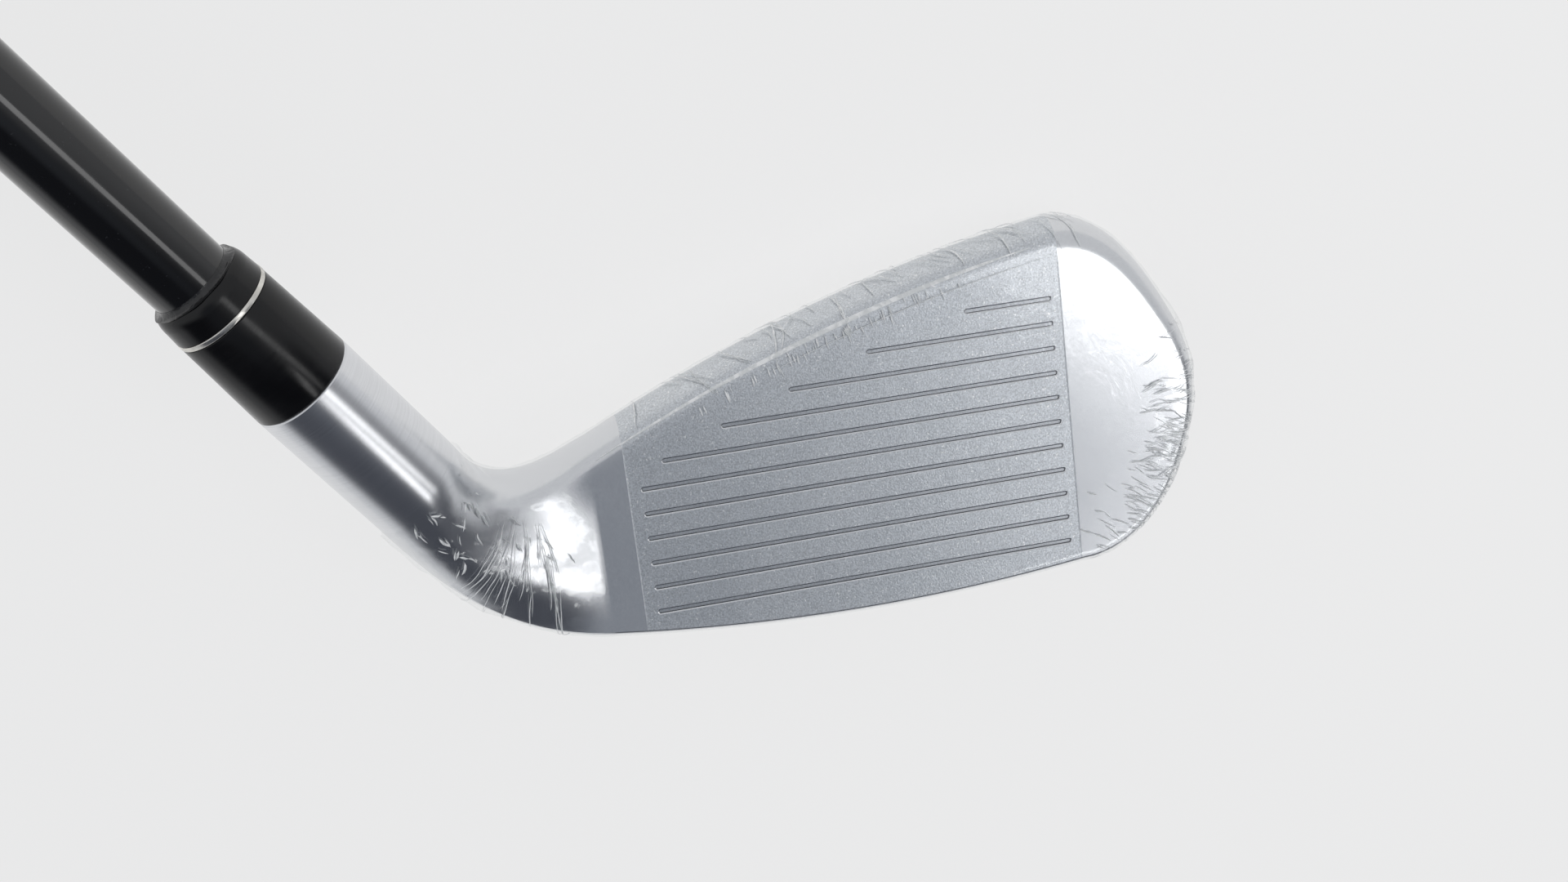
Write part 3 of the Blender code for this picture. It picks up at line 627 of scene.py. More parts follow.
class Nodes:
    """Adds nodes to a tree, with values or links for their inputs."""

    def __init__(self, tree):
        self.tree = tree

    def add(self, kind, inputs=None, **settings):
        """One node; its first output is what most callers use."""
        node = self.tree.nodes.new(kind)
        for name, value in settings.items():
            setattr(node, name, value)
        for socket, value in (inputs or {}).items():
            self.feed(node, socket, value)
        return node

    def feed(self, node, socket, value):
        """Links a socket to an input, or sets the input's value."""
        if isinstance(value, bpy.types.NodeSocket):
            self.tree.links.new(value, node.inputs[socket])
        else:
            node.inputs[socket].default_value = value

    def math(self, operation, a, b=0.0):
        """One sum."""
        return self.add("ShaderNodeMath", {0: a, 1: b}, operation=operation).outputs[0]

    def ramp(self, value, low, high, start=0.0, end=1.0):
        """A gentle ramp from start at low to end at high."""
        inputs = {"Value": value, "From Min": low, "From Max": high, "To Min": start, "To Max": end}
        return self.add("ShaderNodeMapRange", inputs, interpolation_type="SMOOTHSTEP").outputs["Result"]

    def between(self, share, a, b):
        """A value between two values."""
        return self.add("ShaderNodeMix", {0: share, 2: a, 3: b}, data_type="FLOAT").outputs[0]

    def blend(self, share, a, b):
        """A colour between two colours."""
        colours = [value if isinstance(value, bpy.types.NodeSocket) else (*value, 1.0) for value in (a, b)]
        inputs = {0: share, 6: colours[0], 7: colours[1]}
        return self.add("ShaderNodeMix", inputs, data_type="RGBA").outputs[2]

    def bump(self, height, strength, distance):
        """A normal that is tilted by a height."""
        inputs = {"Height": height, "Strength": strength, "Distance": distance * MM}
        return self.add("ShaderNodeBump", inputs).outputs["Normal"]

    def spread(self, share, start, end):
        """A value that runs gently from start to end as a share runs from 0 to 1."""
        return self.ramp(share, 0.0, 1.0, start, end)

    def tones(self, share, colour, start, end):
        """A colour between two brightnesses of itself."""
        return self.blend(share, toned(colour, start), toned(colour, end))

    def effect(self, tree, place, control, value):
        """What a node group puts out at a place, with the value of its one control."""
        return self.add("ShaderNodeGroup", {"Place": place, control: value}, node_tree=tree).outputs[0]

    def grain(self, place, size):
        """Fine grains of a given size in millimetres."""
        return self.effect(fine_grain(), place, "Size", size)

    def smudges(self, place, size):
        """Soft clouds of a given size in millimetres."""
        return self.effect(handling_smudges(), place, "Size", size)

    def lines(self, place, stretch):
        """Fine lines along the direction that has the smallest stretch."""
        return self.effect(brushed_lines(), place, "Stretch", stretch)


def effect_group(name, inputs, output, draw):
    """A node group, built once, that puts out one value that changes over the surface."""
    found = bpy.data.node_groups.get(name)
    if found:
        return found
    tree = bpy.data.node_groups.new(name, "ShaderNodeTree")
    for label, default in inputs.items():
        kind = "NodeSocketFloat" if isinstance(default, float) else "NodeSocketVector"
        tree.interface.new_socket(label, in_out="INPUT", socket_type=kind).default_value = default
    tree.interface.new_socket(output, in_out="OUTPUT", socket_type="NodeSocketFloat")
    nodes = Nodes(tree)
    given = nodes.add("NodeGroupInput").outputs
    nodes.feed(nodes.add("NodeGroupOutput"), 0, draw(nodes, given))
    return tree


def spots_group(name, output, size, low, high, **texture):
    """A node group of spots of a given size, with the ramp that parts dark spots from light ones."""
    def draw(nodes, given):
        scale = nodes.math("DIVIDE", 1.0, given["Size"])
        spots = nodes.add("ShaderNodeTexNoise", {"Vector": given["Place"], "Scale": scale, **texture})
        return nodes.ramp(spots.outputs[0], low, high)
    return effect_group(name, {"Place": (0.0, 0.0, 0.0), "Size": size}, output, draw)


def fine_grain():
    """Grains of a given size, from 0 to 1."""
    return spots_group("fine_grain", "Grain", 1.0, 0.25, 0.75, Detail=2.0)


def handling_smudges():
    """Soft clouds of handling, from 0 to 1."""
    return spots_group("handling_smudges", "Smudge", 10.0, 0.35, 0.7, Detail=5.0, Distortion=0.6)


def brushed_lines():
    """Fine lines along the direction that the stretch makes long, from 0 to 1."""
    def draw(nodes, given):
        place = nodes.add(
            "ShaderNodeVectorMath", {0: given["Place"], 1: given["Stretch"]}, operation="MULTIPLY"
        ).outputs[0]
        lines = nodes.add("ShaderNodeTexNoise", {"Vector": place, "Scale": 1.0, "Detail": 4.0})
        return nodes.ramp(lines.outputs[0], 0.3, 0.7)
    inputs = {"Place": (0.0, 0.0, 0.0), "Stretch": (1.0, 1.0, 1.0)}
    return effect_group("brushed_lines", inputs, "Lines", draw)


def datum(name, place):
    """An empty that the finishes measure their places from."""
    found = bpy.data.objects.get(name)
    if found:
        return found
    made = new_object(name, None)
    made.matrix_world = place
    return made


def head_datum():
    """Origin of the address frame."""
    return datum("head_datum", HEAD_PLACE)


def shaft_datum():
    """Origin of the pieces that are turned about the shaft."""
    return datum("shaft_datum", SHAFT_PLACE)


def finish(name, origin, plain, draw):
    """A surface: the shader's plain values, then the varying ones that draw gives for places in mm."""
    made = bpy.data.materials.new(name)
    made.use_nodes = True
    nodes = Nodes(made.node_tree)
    shader = made.node_tree.nodes["Principled BSDF"]
    for socket, value in plain.items():
        shader.inputs[socket].default_value = value
    for socket, value in draw(nodes, place_from(nodes, origin)).items():
        nodes.feed(shader, socket, value)
    return made


def place_from(nodes, origin):
    """Places on the surface in millimetres from an origin."""
    place = nodes.add("ShaderNodeTexCoord", object=origin).outputs["Object"]
    return nodes.add("ShaderNodeVectorMath", {0: place, "Scale": 1 / MM}, operation="SCALE").outputs[0]


def toned(colour, share):
    """A colour made darker or lighter."""
    return tuple(min(1.0, c * share) for c in colour)


# Finishes of the head

# Length of the neck over which the brushing turns
BRUSH_BLEND = 8.0


def blasted_steel(colours):
    """Bead-blasted steel with fine grains, and sparse specks painted lighter as painted glints."""
    def draw(nodes, place):
        grain = nodes.grain(place, 0.2)
        smudge = nodes.smudges(place, 14.0)
        # Painted glints: sparse specks of grain get a much lighter colour, standing in for light the blasted
        # grains catch.
        painted_glint_specks = nodes.ramp(nodes.grain(place, 0.25), 0.86, 1.0)
        tone = nodes.tones(grain, colours.blasted, 0.8, 1.2)
        return {
            "Base Color": nodes.blend(painted_glint_specks, tone, toned(colours.blasted, 1.6)),
            "Roughness": nodes.spread(smudge, 0.36, 0.40),
            "Normal": nodes.bump(grain, 0.35, 0.025),
        }
    return finish("blasted_steel", head_datum(), {"Metallic": 1.0}, draw)


def satin_steel(colours):
    """Brushed steel, with lines that run up the face and round the hosel."""
    def draw(nodes, place):
        shaft_place = place_from(nodes, shaft_datum())
        shaft_height = nodes.add("ShaderNodeSeparateXYZ", {0: shaft_place}).outputs["Z"]
        upright = nodes.lines(place, (9.0, 9.0, 0.1))
        rings = nodes.lines(shaft_place, (0.1, 0.1, 14.0))
        on_hosel = nodes.ramp(shaft_height, NECK_START - BRUSH_BLEND, NECK_START)
        lines = nodes.between(on_hosel, upright, rings)
        smudge = nodes.smudges(place, 9.0)
        return {
            "Base Color": nodes.tones(lines, colours.satin, 0.96, 1.04),
            "Roughness": nodes.spread(smudge, 0.24, 0.255),
            "Normal": nodes.bump(lines, 0.04, 0.004),
        }
    return finish("satin_steel", head_datum(), {"Metallic": 1.0}, draw)


def score_steel(name, colour):
    """The milled walls or floor of the score lines; the walls get a very dark colour that is painted shade.
    """
    def draw(nodes, place):
        lines = nodes.lines(place, (0.3, 12.0, 12.0))
        grain = nodes.grain(place, 0.15)
        return {
            "Base Color": nodes.tones(grain, colour, 0.8, 1.15),
            "Roughness": nodes.spread(lines, 0.3, 0.42),
            "Normal": nodes.bump(lines, 0.15, 0.01),
        }
    return finish(name, head_datum(), {"Metallic": 1.0}, draw)


def clear_film(colours):
    """Thin clear film: a mirror as faint as the sheen of clear plastic, with a little haze."""
    def draw(nodes, place):
        haze = nodes.smudges(place, 6.0)
        ripple = nodes.smudges(place, 1.3)
        facing = nodes.add("ShaderNodeLayerWeight", {"Blend": 0.5}).outputs["Facing"]
        sheen = nodes.spread(nodes.math("POWER", facing, 4.0), 0.035, 0.3)
        return {
            "Base Color": nodes.tones(haze, colours.film, 0.95, 1.05),
            "Alpha": nodes.math("ADD", sheen, nodes.spread(haze, 0.0, 0.02)),
            "Normal": nodes.bump(ripple, 0.15, 0.05),
        }
    return finish("clear_film", head_datum(), {"Metallic": 1.0, "Roughness": 0.08}, draw)


def crease_painted_glint(colours):
    """A crease in the film, painted white as a glint on the real fold, broken here and there."""
    def draw(nodes, place):
        broken = nodes.smudges(place, 0.9)
        return {
            # Painted glint: the crease is nearly opaque and lighter than the film, as the light a fold
            # catches.
            "Base Color": nodes.tones(broken, colours.film, 1.08, 1.16),
            "Alpha": nodes.ramp(broken, 0.1, 0.9, 0.75, 1.0),
        }
    return finish("crease_painted_glint", head_datum(), {"Metallic": 0.4, "Roughness": 0.3}, draw)


# Finishes of the ferrule, the shaft and the grip

def turned_plastic(colours):
    """Black plastic with faint lines from turning."""
    def draw(nodes, place):
        rings = nodes.lines(place, (0.25, 0.25, 9.0))
        smudge = nodes.smudges(place, 5.0)
        worn = nodes.math("ADD", nodes.math("MULTIPLY", rings, 0.5), nodes.math("MULTIPLY", smudge, 0.5))
        return {
            "Base Color": nodes.tones(smudge, colours.ferrule, 1.0, 1.6),
            "Roughness": nodes.spread(worn, 0.15, 0.25),
            "Normal": nodes.bump(rings, 0.08, 0.01),
        }
    return finish("turned_plastic", shaft_datum(), {"IOR": 1.5, "Specular IOR Level": 0.35}, draw)


def trim_metal(colours):
    """The bright trim ring, with turning lines and a little tarnish."""
    def draw(nodes, place):
        rings = nodes.lines(place, (0.3, 0.3, 14.0))
        tarnish = nodes.smudges(place, 2.5)
        return {
            "Base Color": nodes.tones(tarnish, colours.trim, 1.0, 0.72),
            "Roughness": nodes.spread(tarnish, 0.16, 0.34),
            "Normal": nodes.bump(rings, 0.12, 0.01),
        }
    return finish("trim_metal", shaft_datum(), {"Metallic": 1.0}, draw)


def gloss_paint(colours):
    """Gloss black paint under a clear coat, with a slight ripple and dust."""
    def draw(nodes, place):
        ripple = nodes.smudges(place, 1.8)
        dust = nodes.ramp(nodes.grain(place, 0.35), 0.985, 1.0)
        smudge = nodes.smudges(place, 12.0)
        return {
            "Base Color": nodes.tones(dust, colours.shaft, 1.0, 9.0),
            "Roughness": nodes.spread(smudge, 0.10, 0.17),
            "Normal": nodes.bump(ripple, 0.05, 0.02),
        }
    plain = {"IOR": 1.5, "Coat Weight": 0.5, "Coat Roughness": 0.06}
    return finish("gloss_paint", shaft_datum(), plain, draw)


def wet_adhesive(colours):
    """Hardened dark adhesive that looks wet."""
    def draw(nodes, place):
        lumps = nodes.smudges(place, 0.8)
        return {
            "Base Color": nodes.tones(lumps, colours.adhesive, 1.0, 2.0),
            "Roughness": nodes.spread(lumps, 0.06, 0.2),
            "Normal": nodes.bump(lumps, 0.35, 0.08),
        }
    return finish("wet_adhesive", shaft_datum(), {"IOR": 1.52}, draw)


def grip_rubber(colours):
    """Matt rubber with a fine grain and polished high spots."""
    def draw(nodes, place):
        grain = nodes.grain(place, 0.3)
        smudge = nodes.smudges(place, 20.0)
        return {
            "Base Color": nodes.tones(smudge, colours.rubber, 1.0, 1.9),
            "Roughness": nodes.spread(smudge, 0.58, 0.8),
            "Normal": nodes.bump(grain, 0.3, 0.05),
        }
    return finish("grip_rubber", shaft_datum(), {"IOR": 1.5}, draw)


# Finishes of the hidden pieces

SMUDGE_PER_GRAIN = 12
BUMP_PER_GRAIN = 0.2
ROUGHNESS_SPREAD = 0.08


def grained(name, colour, size, plain, roughness):
    """A surface of one colour with grains of a given size."""
    def draw(nodes, place):
        grain = nodes.grain(place, size)
        smudge = nodes.smudges(place, size * SMUDGE_PER_GRAIN)
        tone = nodes.tones(grain, colour, 0.75, 1.15)
        return {
            "Base Color": nodes.blend(smudge, tone, toned(colour, 0.85)),
            "Roughness": nodes.spread(smudge, roughness - ROUGHNESS_SPREAD, roughness + ROUGHNESS_SPREAD),
            "Normal": nodes.bump(grain, 0.25, size * BUMP_PER_GRAIN),
        }
    return finish(name, None, plain, draw)


# Making pieces

def laid_mesh(name, drawing, place):
    """A mesh in metres, laid where the club is, from a drawing in millimetres."""
    bmesh.ops.transform(drawing, matrix=place @ Matrix.Scale(MM, 4), verts=drawing.verts)
    data = bpy.data.meshes.new(name)
    drawing.to_mesh(data)
    drawing.free()
    return data


def add_piece(name, mesh, finishes, slot, nodes, place):
    """A shown piece from a drawing in millimetres, which stands for the given solids."""
    data = laid_mesh(name, mesh, place)
    for surface in finishes:
        data.materials.append(surface)
    data.shade_smooth()
    data.set_sharp_from_angle(angle=SHARP_ANGLE)
    made = new_object(name, data)
    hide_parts(*nodes)
    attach(made, "root")
    return made


def cut_away(piece, drawing, finishes, place):
    """Takes a drawing in millimetres out of a piece and gives the cut the drawing's finishes."""
    cutter_data = laid_mesh("cutter", drawing, place)
    for surface in finishes:
        cutter_data.materials.append(surface)
    cutter = new_object("cutter", cutter_data)
    modifier = piece.modifiers.new("cut", "BOOLEAN")
    modifier.operation = "DIFFERENCE"
    modifier.solver = "EXACT"
    modifier.material_mode = "TRANSFER"
    modifier.object = cutter
    bpy.context.view_layer.update()
    evaluated = piece.evaluated_get(bpy.context.evaluated_depsgraph_get())
    data = bpy.data.meshes.new_from_object(evaluated)
    piece.modifiers.remove(modifier)
    piece.data = data
    data.shade_smooth()
    data.set_sharp_from_angle(angle=CUT_SHARP_ANGLE)
    bpy.data.objects.remove(cutter)


def turned_mesh(profile, sides=ROUND_SIDES, swell=None):
    """A body turned about Z from a closed profile of (radius, height), run down its outer side.

    A swell gives what to add to the radius at (height, angle, radius).
    """
    mesh = bmesh.new()
    rings = []
    for radius, height in profile:
        if radius == 0:
            rings.append([mesh.verts.new((0.0, 0.0, height))] * sides)
            continue
        ring = []
        for i in range(sides):
            angle = 2 * math.pi * i / sides
            r = radius + (swell(height, angle, radius) if swell else 0.0)
            ring.append(mesh.verts.new((r * math.cos(angle), r * math.sin(angle), height)))
        rings.append(ring)
    for near, far in zip(rings, rings[1:] + rings[:1]):
        stitch(mesh, near, far)
    face_outwards(mesh)
    return mesh


# Head

def score_line_heel(v):
    """The heel end of a score line: full length, or cut short below the topline."""
    left = -SCORE_LENGTH
    step = 0.1
    while topline_v(left) - SCORE_TOP_MARGIN < v and left < -step:
        left += step
    return left


def slot_outline(left, right, v, half_width):
    """A slot with round ends on the face plane."""
    outline = []
    for centre, first_turn in ((right, -math.pi / 2), (left, math.pi / 2)):
        for t in shares(SCORE_END_POINTS):
            turn = first_turn + math.pi * t
            outline.append((centre + half_width * math.cos(turn), v + half_width * math.sin(turn)))
    return outline


def add_slot_cutter(mesh, left, right, v, half_width, depth):
    """One groove cutter: a flared lip, sloping walls and a flat floor, with finishes 0, 1 and 2."""
    lift = SCORE_CUTTER_REACH * SCORE_LIP_DEPTH / SCORE_LIP
    levels = [
        (half_width + SCORE_LIP + SCORE_CUTTER_REACH, BAND_DROP - lift),
        (half_width, BAND_DROP + SCORE_LIP_DEPTH),
        (half_width - SCORE_WALL_SLOPE, BAND_DROP + depth),
    ]
    rings = []
    for reach, level in levels:
        outline = slot_outline(left + half_width, right - half_width, v, reach)
        rings.append([mesh.verts.new(on_face(u, w, level)) for u, w in outline])
    mesh.faces.new(rings[0])
    mesh.faces.new(list(reversed(rings[-1]))).material_index = 2
    for surface, (near, far) in enumerate(zip(rings, rings[1:])):
        for i in range(len(near)):
            j = (i + 1) % len(near)
            mesh.faces.new((near[i], far[i], far[j], near[j])).material_index = surface


def head_loops(fine):
    """Sections from the bore's floor over the hosel's rim and down to the toe centre."""
    loops = [hosel_loop(HOSEL_TOP - BORE_DEPTH, fine, BORE_RADIUS), hosel_loop(HOSEL_TOP, fine, BORE_RADIUS)]
    loops.append(hosel_loop(HOSEL_TOP, fine, HOSEL_RADIUS - HOSEL_CHAMFER))
    for t in shares(fine.hosel)[:-1]:
        loops.append(hosel_loop(mix(HOSEL_TOP - HOSEL_CHAMFER, NECK_START, t), fine))
    loops += neck_loops(fine, 0.0)
    step = BAND_STEP_WIDTH
    loops += [blade_loop(u, fine) for u in (BLADE_HEEL_U + step, BAND_HEEL_U - step / 2, BAND_HEEL_U)]
    band_rows = [len(loops) - 1]
    low_heel, low_toe = BAND_HEEL_U + step, BAND_TOE_U - step
    loops.append(sunk_loop(low_heel, fine))
    loops += [sunk_loop(mix(low_heel + step / 2, low_toe - step / 2, t), fine) for t in shares(fine.blade)]
    loops.append(sunk_loop(low_toe, fine))
    band_rows.append(len(loops))
    loops += [blade_loop(u, fine) for u in (BAND_TOE_U, BAND_TOE_U + step / 2, TOE_CENTRE_U)]
    return loops, range(*band_rows)


class CLUB_OT_make_head(bpy.types.Operator):
    """Makes the steel head with its blasted band and score lines"""

    bl_idname = "club.make_head"
    bl_label = "Make the head"

    def execute(self, context):
        shape, colours = context.scene.club_shape, context.scene.club_finish
        loops, band_rows = head_loops(HEAD_FINENESS)
        mesh, _ = head_skin(loops, HEAD_FINENESS, band_rows)
        finishes = [satin_steel(colours), blasted_steel(colours)]
        nodes = ("head_body", "face_plate")
        head = add_piece("head_steel_skin", mesh, finishes, "head_steel", nodes, HEAD_PLACE)
        cutter = bmesh.new()
        for row in range(shape.score_lines):
            v = -row * SCORE_PITCH
            half_width = shape.score_width / MM / 2
            add_slot_cutter(cutter, score_line_heel(v), 0.0, v, half_width, shape.score_depth / MM)
        face_outwards(cutter)
        # The walls take a very dark colour as painted shade in the grooves; the floors keep a lighter steel.
        walls = score_steel("painted_shade_wall_steel", colours.painted_shade_score_wall)
        floors = score_steel("score_floor_steel", colours.score)
        cut_away(head, cutter, [finishes[0], walls, floors], HEAD_PLACE)
        return {"FINISHED"}


# Film

# Ragged edge on the neck: wide and fine wander in steps between sections, with their scales per mm
FILM_NECK_SHARE = 0.09
FILM_EDGE_WANDER = 2.2
FILM_EDGE_WANDER_SCALE = 0.5
FILM_EDGE_FRAY = 0.5
FILM_EDGE_FRAY_SCALE = 1.7

# Where the film lies loose: x at the neck and the toe, depth behind the face, and how loose there
LOOSE_NECK = (-70.0, -54.0)
LOOSE_TOE = (8.0, 16.0)
LOOSE_DEPTH = (1.0, 3.0)
BACK_LOOSENESS = 0.45
FACE_LOOSENESS = 0.06
WAVE_LEVEL = 0.45
WAVE_SCALE = 0.28
RIPPLE_SHARE = 0.6
RIPPLE_SCALE = 0.75

CREASE_SEED = 7
CREASE_STEP = 0.45
CREASE_WANDER = 0.16
CREASE_SINK = 0.02


class Creases(NamedTuple):
    """One kind of crease: how many, where they start and the ranges of their sizes."""

    count: int
    span: tuple
    length: tuple
    width: tuple
    height: float
    wander: float


# Spans are u along the topline, degrees about the toe centre and the crotch, and heights on the shaft
# axis for the flakes. A third number is where most of them are
TOPLINE_CREASES = Creases(44, (-54.0, 4.0), (3.0, 8.5), (0.1, 0.24), 0.07, CREASE_WANDER)
LAP_CREASES = Creases(60, (-46.0, -10.0, -26.0), (0.9, 1.7), (0.1, 0.22), 0.02, CREASE_WANDER / 2)
TOE_CREASES = Creases(330, (-95.0, 35.0, -38.0), (0.9, 3.0), (0.06, 0.17), 0.02, CREASE_WANDER)
NECK_CREASES = Creases(24, (-65.0, 16.0, -10.0), (4.0, 13.0), (0.07, 0.17), 0.05, CREASE_WANDER / 2)
NECK_FLAKES = Creases(44, (-24.0, -10.0), (0.9, 2.0), (0.12, 0.34), 0.1, 2 * CREASE_WANDER)

# Starts and leans of the creases
TOPLINE_START_DEPTH = (4.0, 8.0)
TOPLINE_LEAN = (0.1, 0.9)
LAP_DROP = (0.4, 1.5)
LAP_LEAN = (0.2, 0.45)
TOE_START_SHARE = (0.55, 1.06)
TOE_FAN = 0.5
TOE_LEAN = (-0.45, 0.45)
CROTCH = Vector((-63.0, -8.0, -10.0))
CROTCH_DISTANCE = (1.0, 15.0)
CROTCH_LIFT = 4.0
FLAKE_ASIDE = (-4.0, 10.0)
FLAKE_LEAN = (-0.3, 0.8)
FLAKE_FALL = (-1.0, -0.4)
FLAKE_LIFT = 6.0

# Lines of the film along the topline: first and last u, drop below the edge, width. The first two are
# painted highlights along the topline's rounded edge; the last is the film's lap line
EDGE_HIGHLIGHT_AND_LAP_LINES = ((-57.5, -2.0, 0.2, 0.45), (-44.0, -6.0, 0.3, 0.55), (-36.0, 0.0, 1.9, 0.09))
EDGE_LINE_HEIGHT = 0.02


def looseness(p):
    """How loosely the film lies at a point: hardly on the flat face, 1 at the neck and round the toe."""
    neck = 1 - ramp(p.x, *LOOSE_NECK)
    toe = ramp(p.x, *LOOSE_TOE)
    behind_face = ramp(-(p.dot(FACE_NORMAL)), *LOOSE_DEPTH)
    return max(neck, toe, BACK_LOOSENESS * behind_face, FACE_LOOSENESS)


def film_stand_off(p, shape):
    """Distance of the film's inner side from the head at a point."""
    waves = noise.noise(p * WAVE_SCALE) + RIPPLE_SHARE * noise.noise(p * RIPPLE_SCALE)
    return shape.film_gap / MM + shape.film_slack / MM * looseness(p) * max(0.0, WAVE_LEVEL + waves)


def film_loops(fine):
    """Sections of the film from its ragged edge on the neck to the toe centre."""
    loops = neck_loops(fine, FILM_NECK_SHARE)
    first, second = loops[0], loops[1]
    for i, (near, far) in enumerate(zip(first, second)):
        wander = noise.noise(near * FILM_EDGE_WANDER_SCALE) * FILM_EDGE_WANDER
        fray = FILM_EDGE_FRAY * noise.noise(near * FILM_EDGE_FRAY_SCALE)
        first[i] = near + (near - far) * (wander + fray)
    for t in shares(fine.blade)[1:]:
        loops.append(blade_loop(mix(BLADE_HEEL_U, TOE_CENTRE_U, t), fine))
    return loops


def film_sheet(shape, fine):
    """A thin closed shell that follows the head, and the mesh of its outer side."""
    skin, cap = head_skin(film_loops(fine), fine)
    rim = list(cap.verts)
    skin.faces.remove(cap)
    skin.normal_update()
    sheet = bmesh.new()
    inside, outside = {}, {}
    for v in skin.verts:
        stand = film_stand_off(v.co, shape)
        inside[v] = sheet.verts.new(v.co + v.normal * stand)
        outside[v] = sheet.verts.new(v.co + v.normal * (stand + shape.film_thickness / MM))
    for face in skin.faces:
        sheet.faces.new([outside[v] for v in face.verts])
        sheet.faces.new([inside[v] for v in reversed(face.verts)])
    for i, v in enumerate(rim):
        w = rim[(i + 1) % len(rim)]
        sheet.faces.new((outside[v], outside[w], inside[w], inside[v]))
    for v in skin.verts:
        v.co = outside[v].co
    face_outwards(sheet)
    return sheet, skin


def crease_path(tree, start, heading, length, wander, chance):
    """Points and normals of one crease that runs over the film from a start in a heading."""
    place, normal, _, _ = tree.find_nearest(start)
    path = [(place, normal)]
    for _ in range(max(2, round(length / CREASE_STEP))):
        heading = (heading - normal * heading.dot(normal)).normalized()
        heading = Quaternion(normal, chance.uniform(-wander, wander)) @ heading
        place, normal, _, _ = tree.find_nearest(place + heading * CREASE_STEP)
        path.append((place, normal))
    return path


def add_crease(mesh, path, width, height):
    """One crease: a ridge along a path, pointed at both ends."""
    tips = [mesh.verts.new(path[0][0]), mesh.verts.new(path[-1][0])]
    rings = []
    for k in range(1, len(path) - 1):
        place, normal = path[k]
        swell = math.sqrt(math.sin(math.pi * k / (len(path) - 1)))
        across = normal.cross(path[k + 1][0] - path[k - 1][0]).normalized() * (width / 2 * swell)
        base = place - normal * CREASE_SINK
        ridge = place + normal * (height * swell)
        rings.append([mesh.verts.new(p) for p in (base - across, ridge, base + across)])
    made = []
    for i in range(3):
        j = (i + 1) % 3
        made.append(mesh.faces.new((tips[0], rings[0][j], rings[0][i])))
        for near, far in zip(rings, rings[1:]):
            made.append(mesh.faces.new((near[i], near[j], far[j], far[i])))
        made.append(mesh.faces.new((tips[1], rings[-1][i], rings[-1][j])))
    # Slot 1 is the crease finish, painted white as glints.
    for side in made:
        side.material_index = 1


def topline_creases(chance):
    """Slanted creases that cross the topline, some of which run on down the face."""
    for _ in range(TOPLINE_CREASES.count):
        u = chance.uniform(*TOPLINE_CREASES.span)
        depth = chance.uniform(*TOPLINE_START_DEPTH)
        start = on_face(u, topline_v(min(u, TOE_CENTRE_U)) + RIM_HEIGHT, depth)
        heading = TO_TOE * chance.uniform(*TOPLINE_LEAN) + FACE_NORMAL
        yield start, heading, chance.uniform(*TOPLINE_CREASES.length), chance.uniform(*TOPLINE_CREASES.width)


def edge_path(tree, first, last, drop):
    """Points and normals of a line on the film that keeps a drop below the edge of the topline."""
    path = []
    for t in shares(round((last - first) / CREASE_STEP)):
        u = mix(first, last, t)
        path.append(tree.find_nearest(on_face(u, topline_v(u) - drop))[:2])
    return path


def lap_creases(chance):
    """Small slanted marks, all one way, along the film's lap under the topline."""
    for _ in range(LAP_CREASES.count):
        u = chance.triangular(*LAP_CREASES.span)
        start = on_face(u, topline_v(u) - chance.uniform(*LAP_DROP))
        heading = TO_TOE * chance.uniform(*LAP_LEAN) - FACE_UP
        yield start, heading, chance.uniform(*LAP_CREASES.length), chance.uniform(*LAP_CREASES.width)


def toe_creases(chance):
    """Dense short creases that run in from the toe's rim."""
    for _ in range(TOE_CREASES.count):
        angle = math.radians(chance.triangular(*TOE_CREASES.span))
        reach = toe_reach(angle) * mix(*TOE_START_SHARE, math.sqrt(chance.random()))
        start = on_face(TOE_CENTRE_U + reach * math.cos(angle), TOE_CENTRE_V + reach * math.sin(angle))
        heading = TO_TOE + FACE_UP * (math.sin(angle) * TOE_FAN + chance.uniform(*TOE_LEAN))
        yield start, heading, chance.uniform(*TOE_CREASES.length), chance.uniform(*TOE_CREASES.width)


def neck_creases(chance):
    """Long creases that fan from the crotch down to the sole."""
    for _ in range(NECK_CREASES.count):
        fan = math.radians(chance.triangular(*NECK_CREASES.span))
        heading = TO_TOE * math.sin(fan) - FACE_UP * math.cos(fan)
        start = CROTCH + heading * chance.uniform(*CROTCH_DISTANCE) + FACE_NORMAL * CROTCH_LIFT
        yield start, heading, chance.uniform(*NECK_CREASES.length), chance.uniform(*NECK_CREASES.width)


def neck_flakes(chance):
    """Short folds where the film is gathered on the neck, drawn light as painted glints."""
    for _ in range(NECK_FLAKES.count):
        start = on_axis(chance.uniform(*NECK_FLAKES.span)) + TO_TOE * chance.uniform(*FLAKE_ASIDE)
        heading = Vector((chance.uniform(*FLAKE_LEAN), 0.0, chance.uniform(*FLAKE_FALL)))
        width = chance.uniform(*NECK_FLAKES.width)
        yield start + FACE_NORMAL * FLAKE_LIFT, heading, chance.uniform(*NECK_FLAKES.length), width


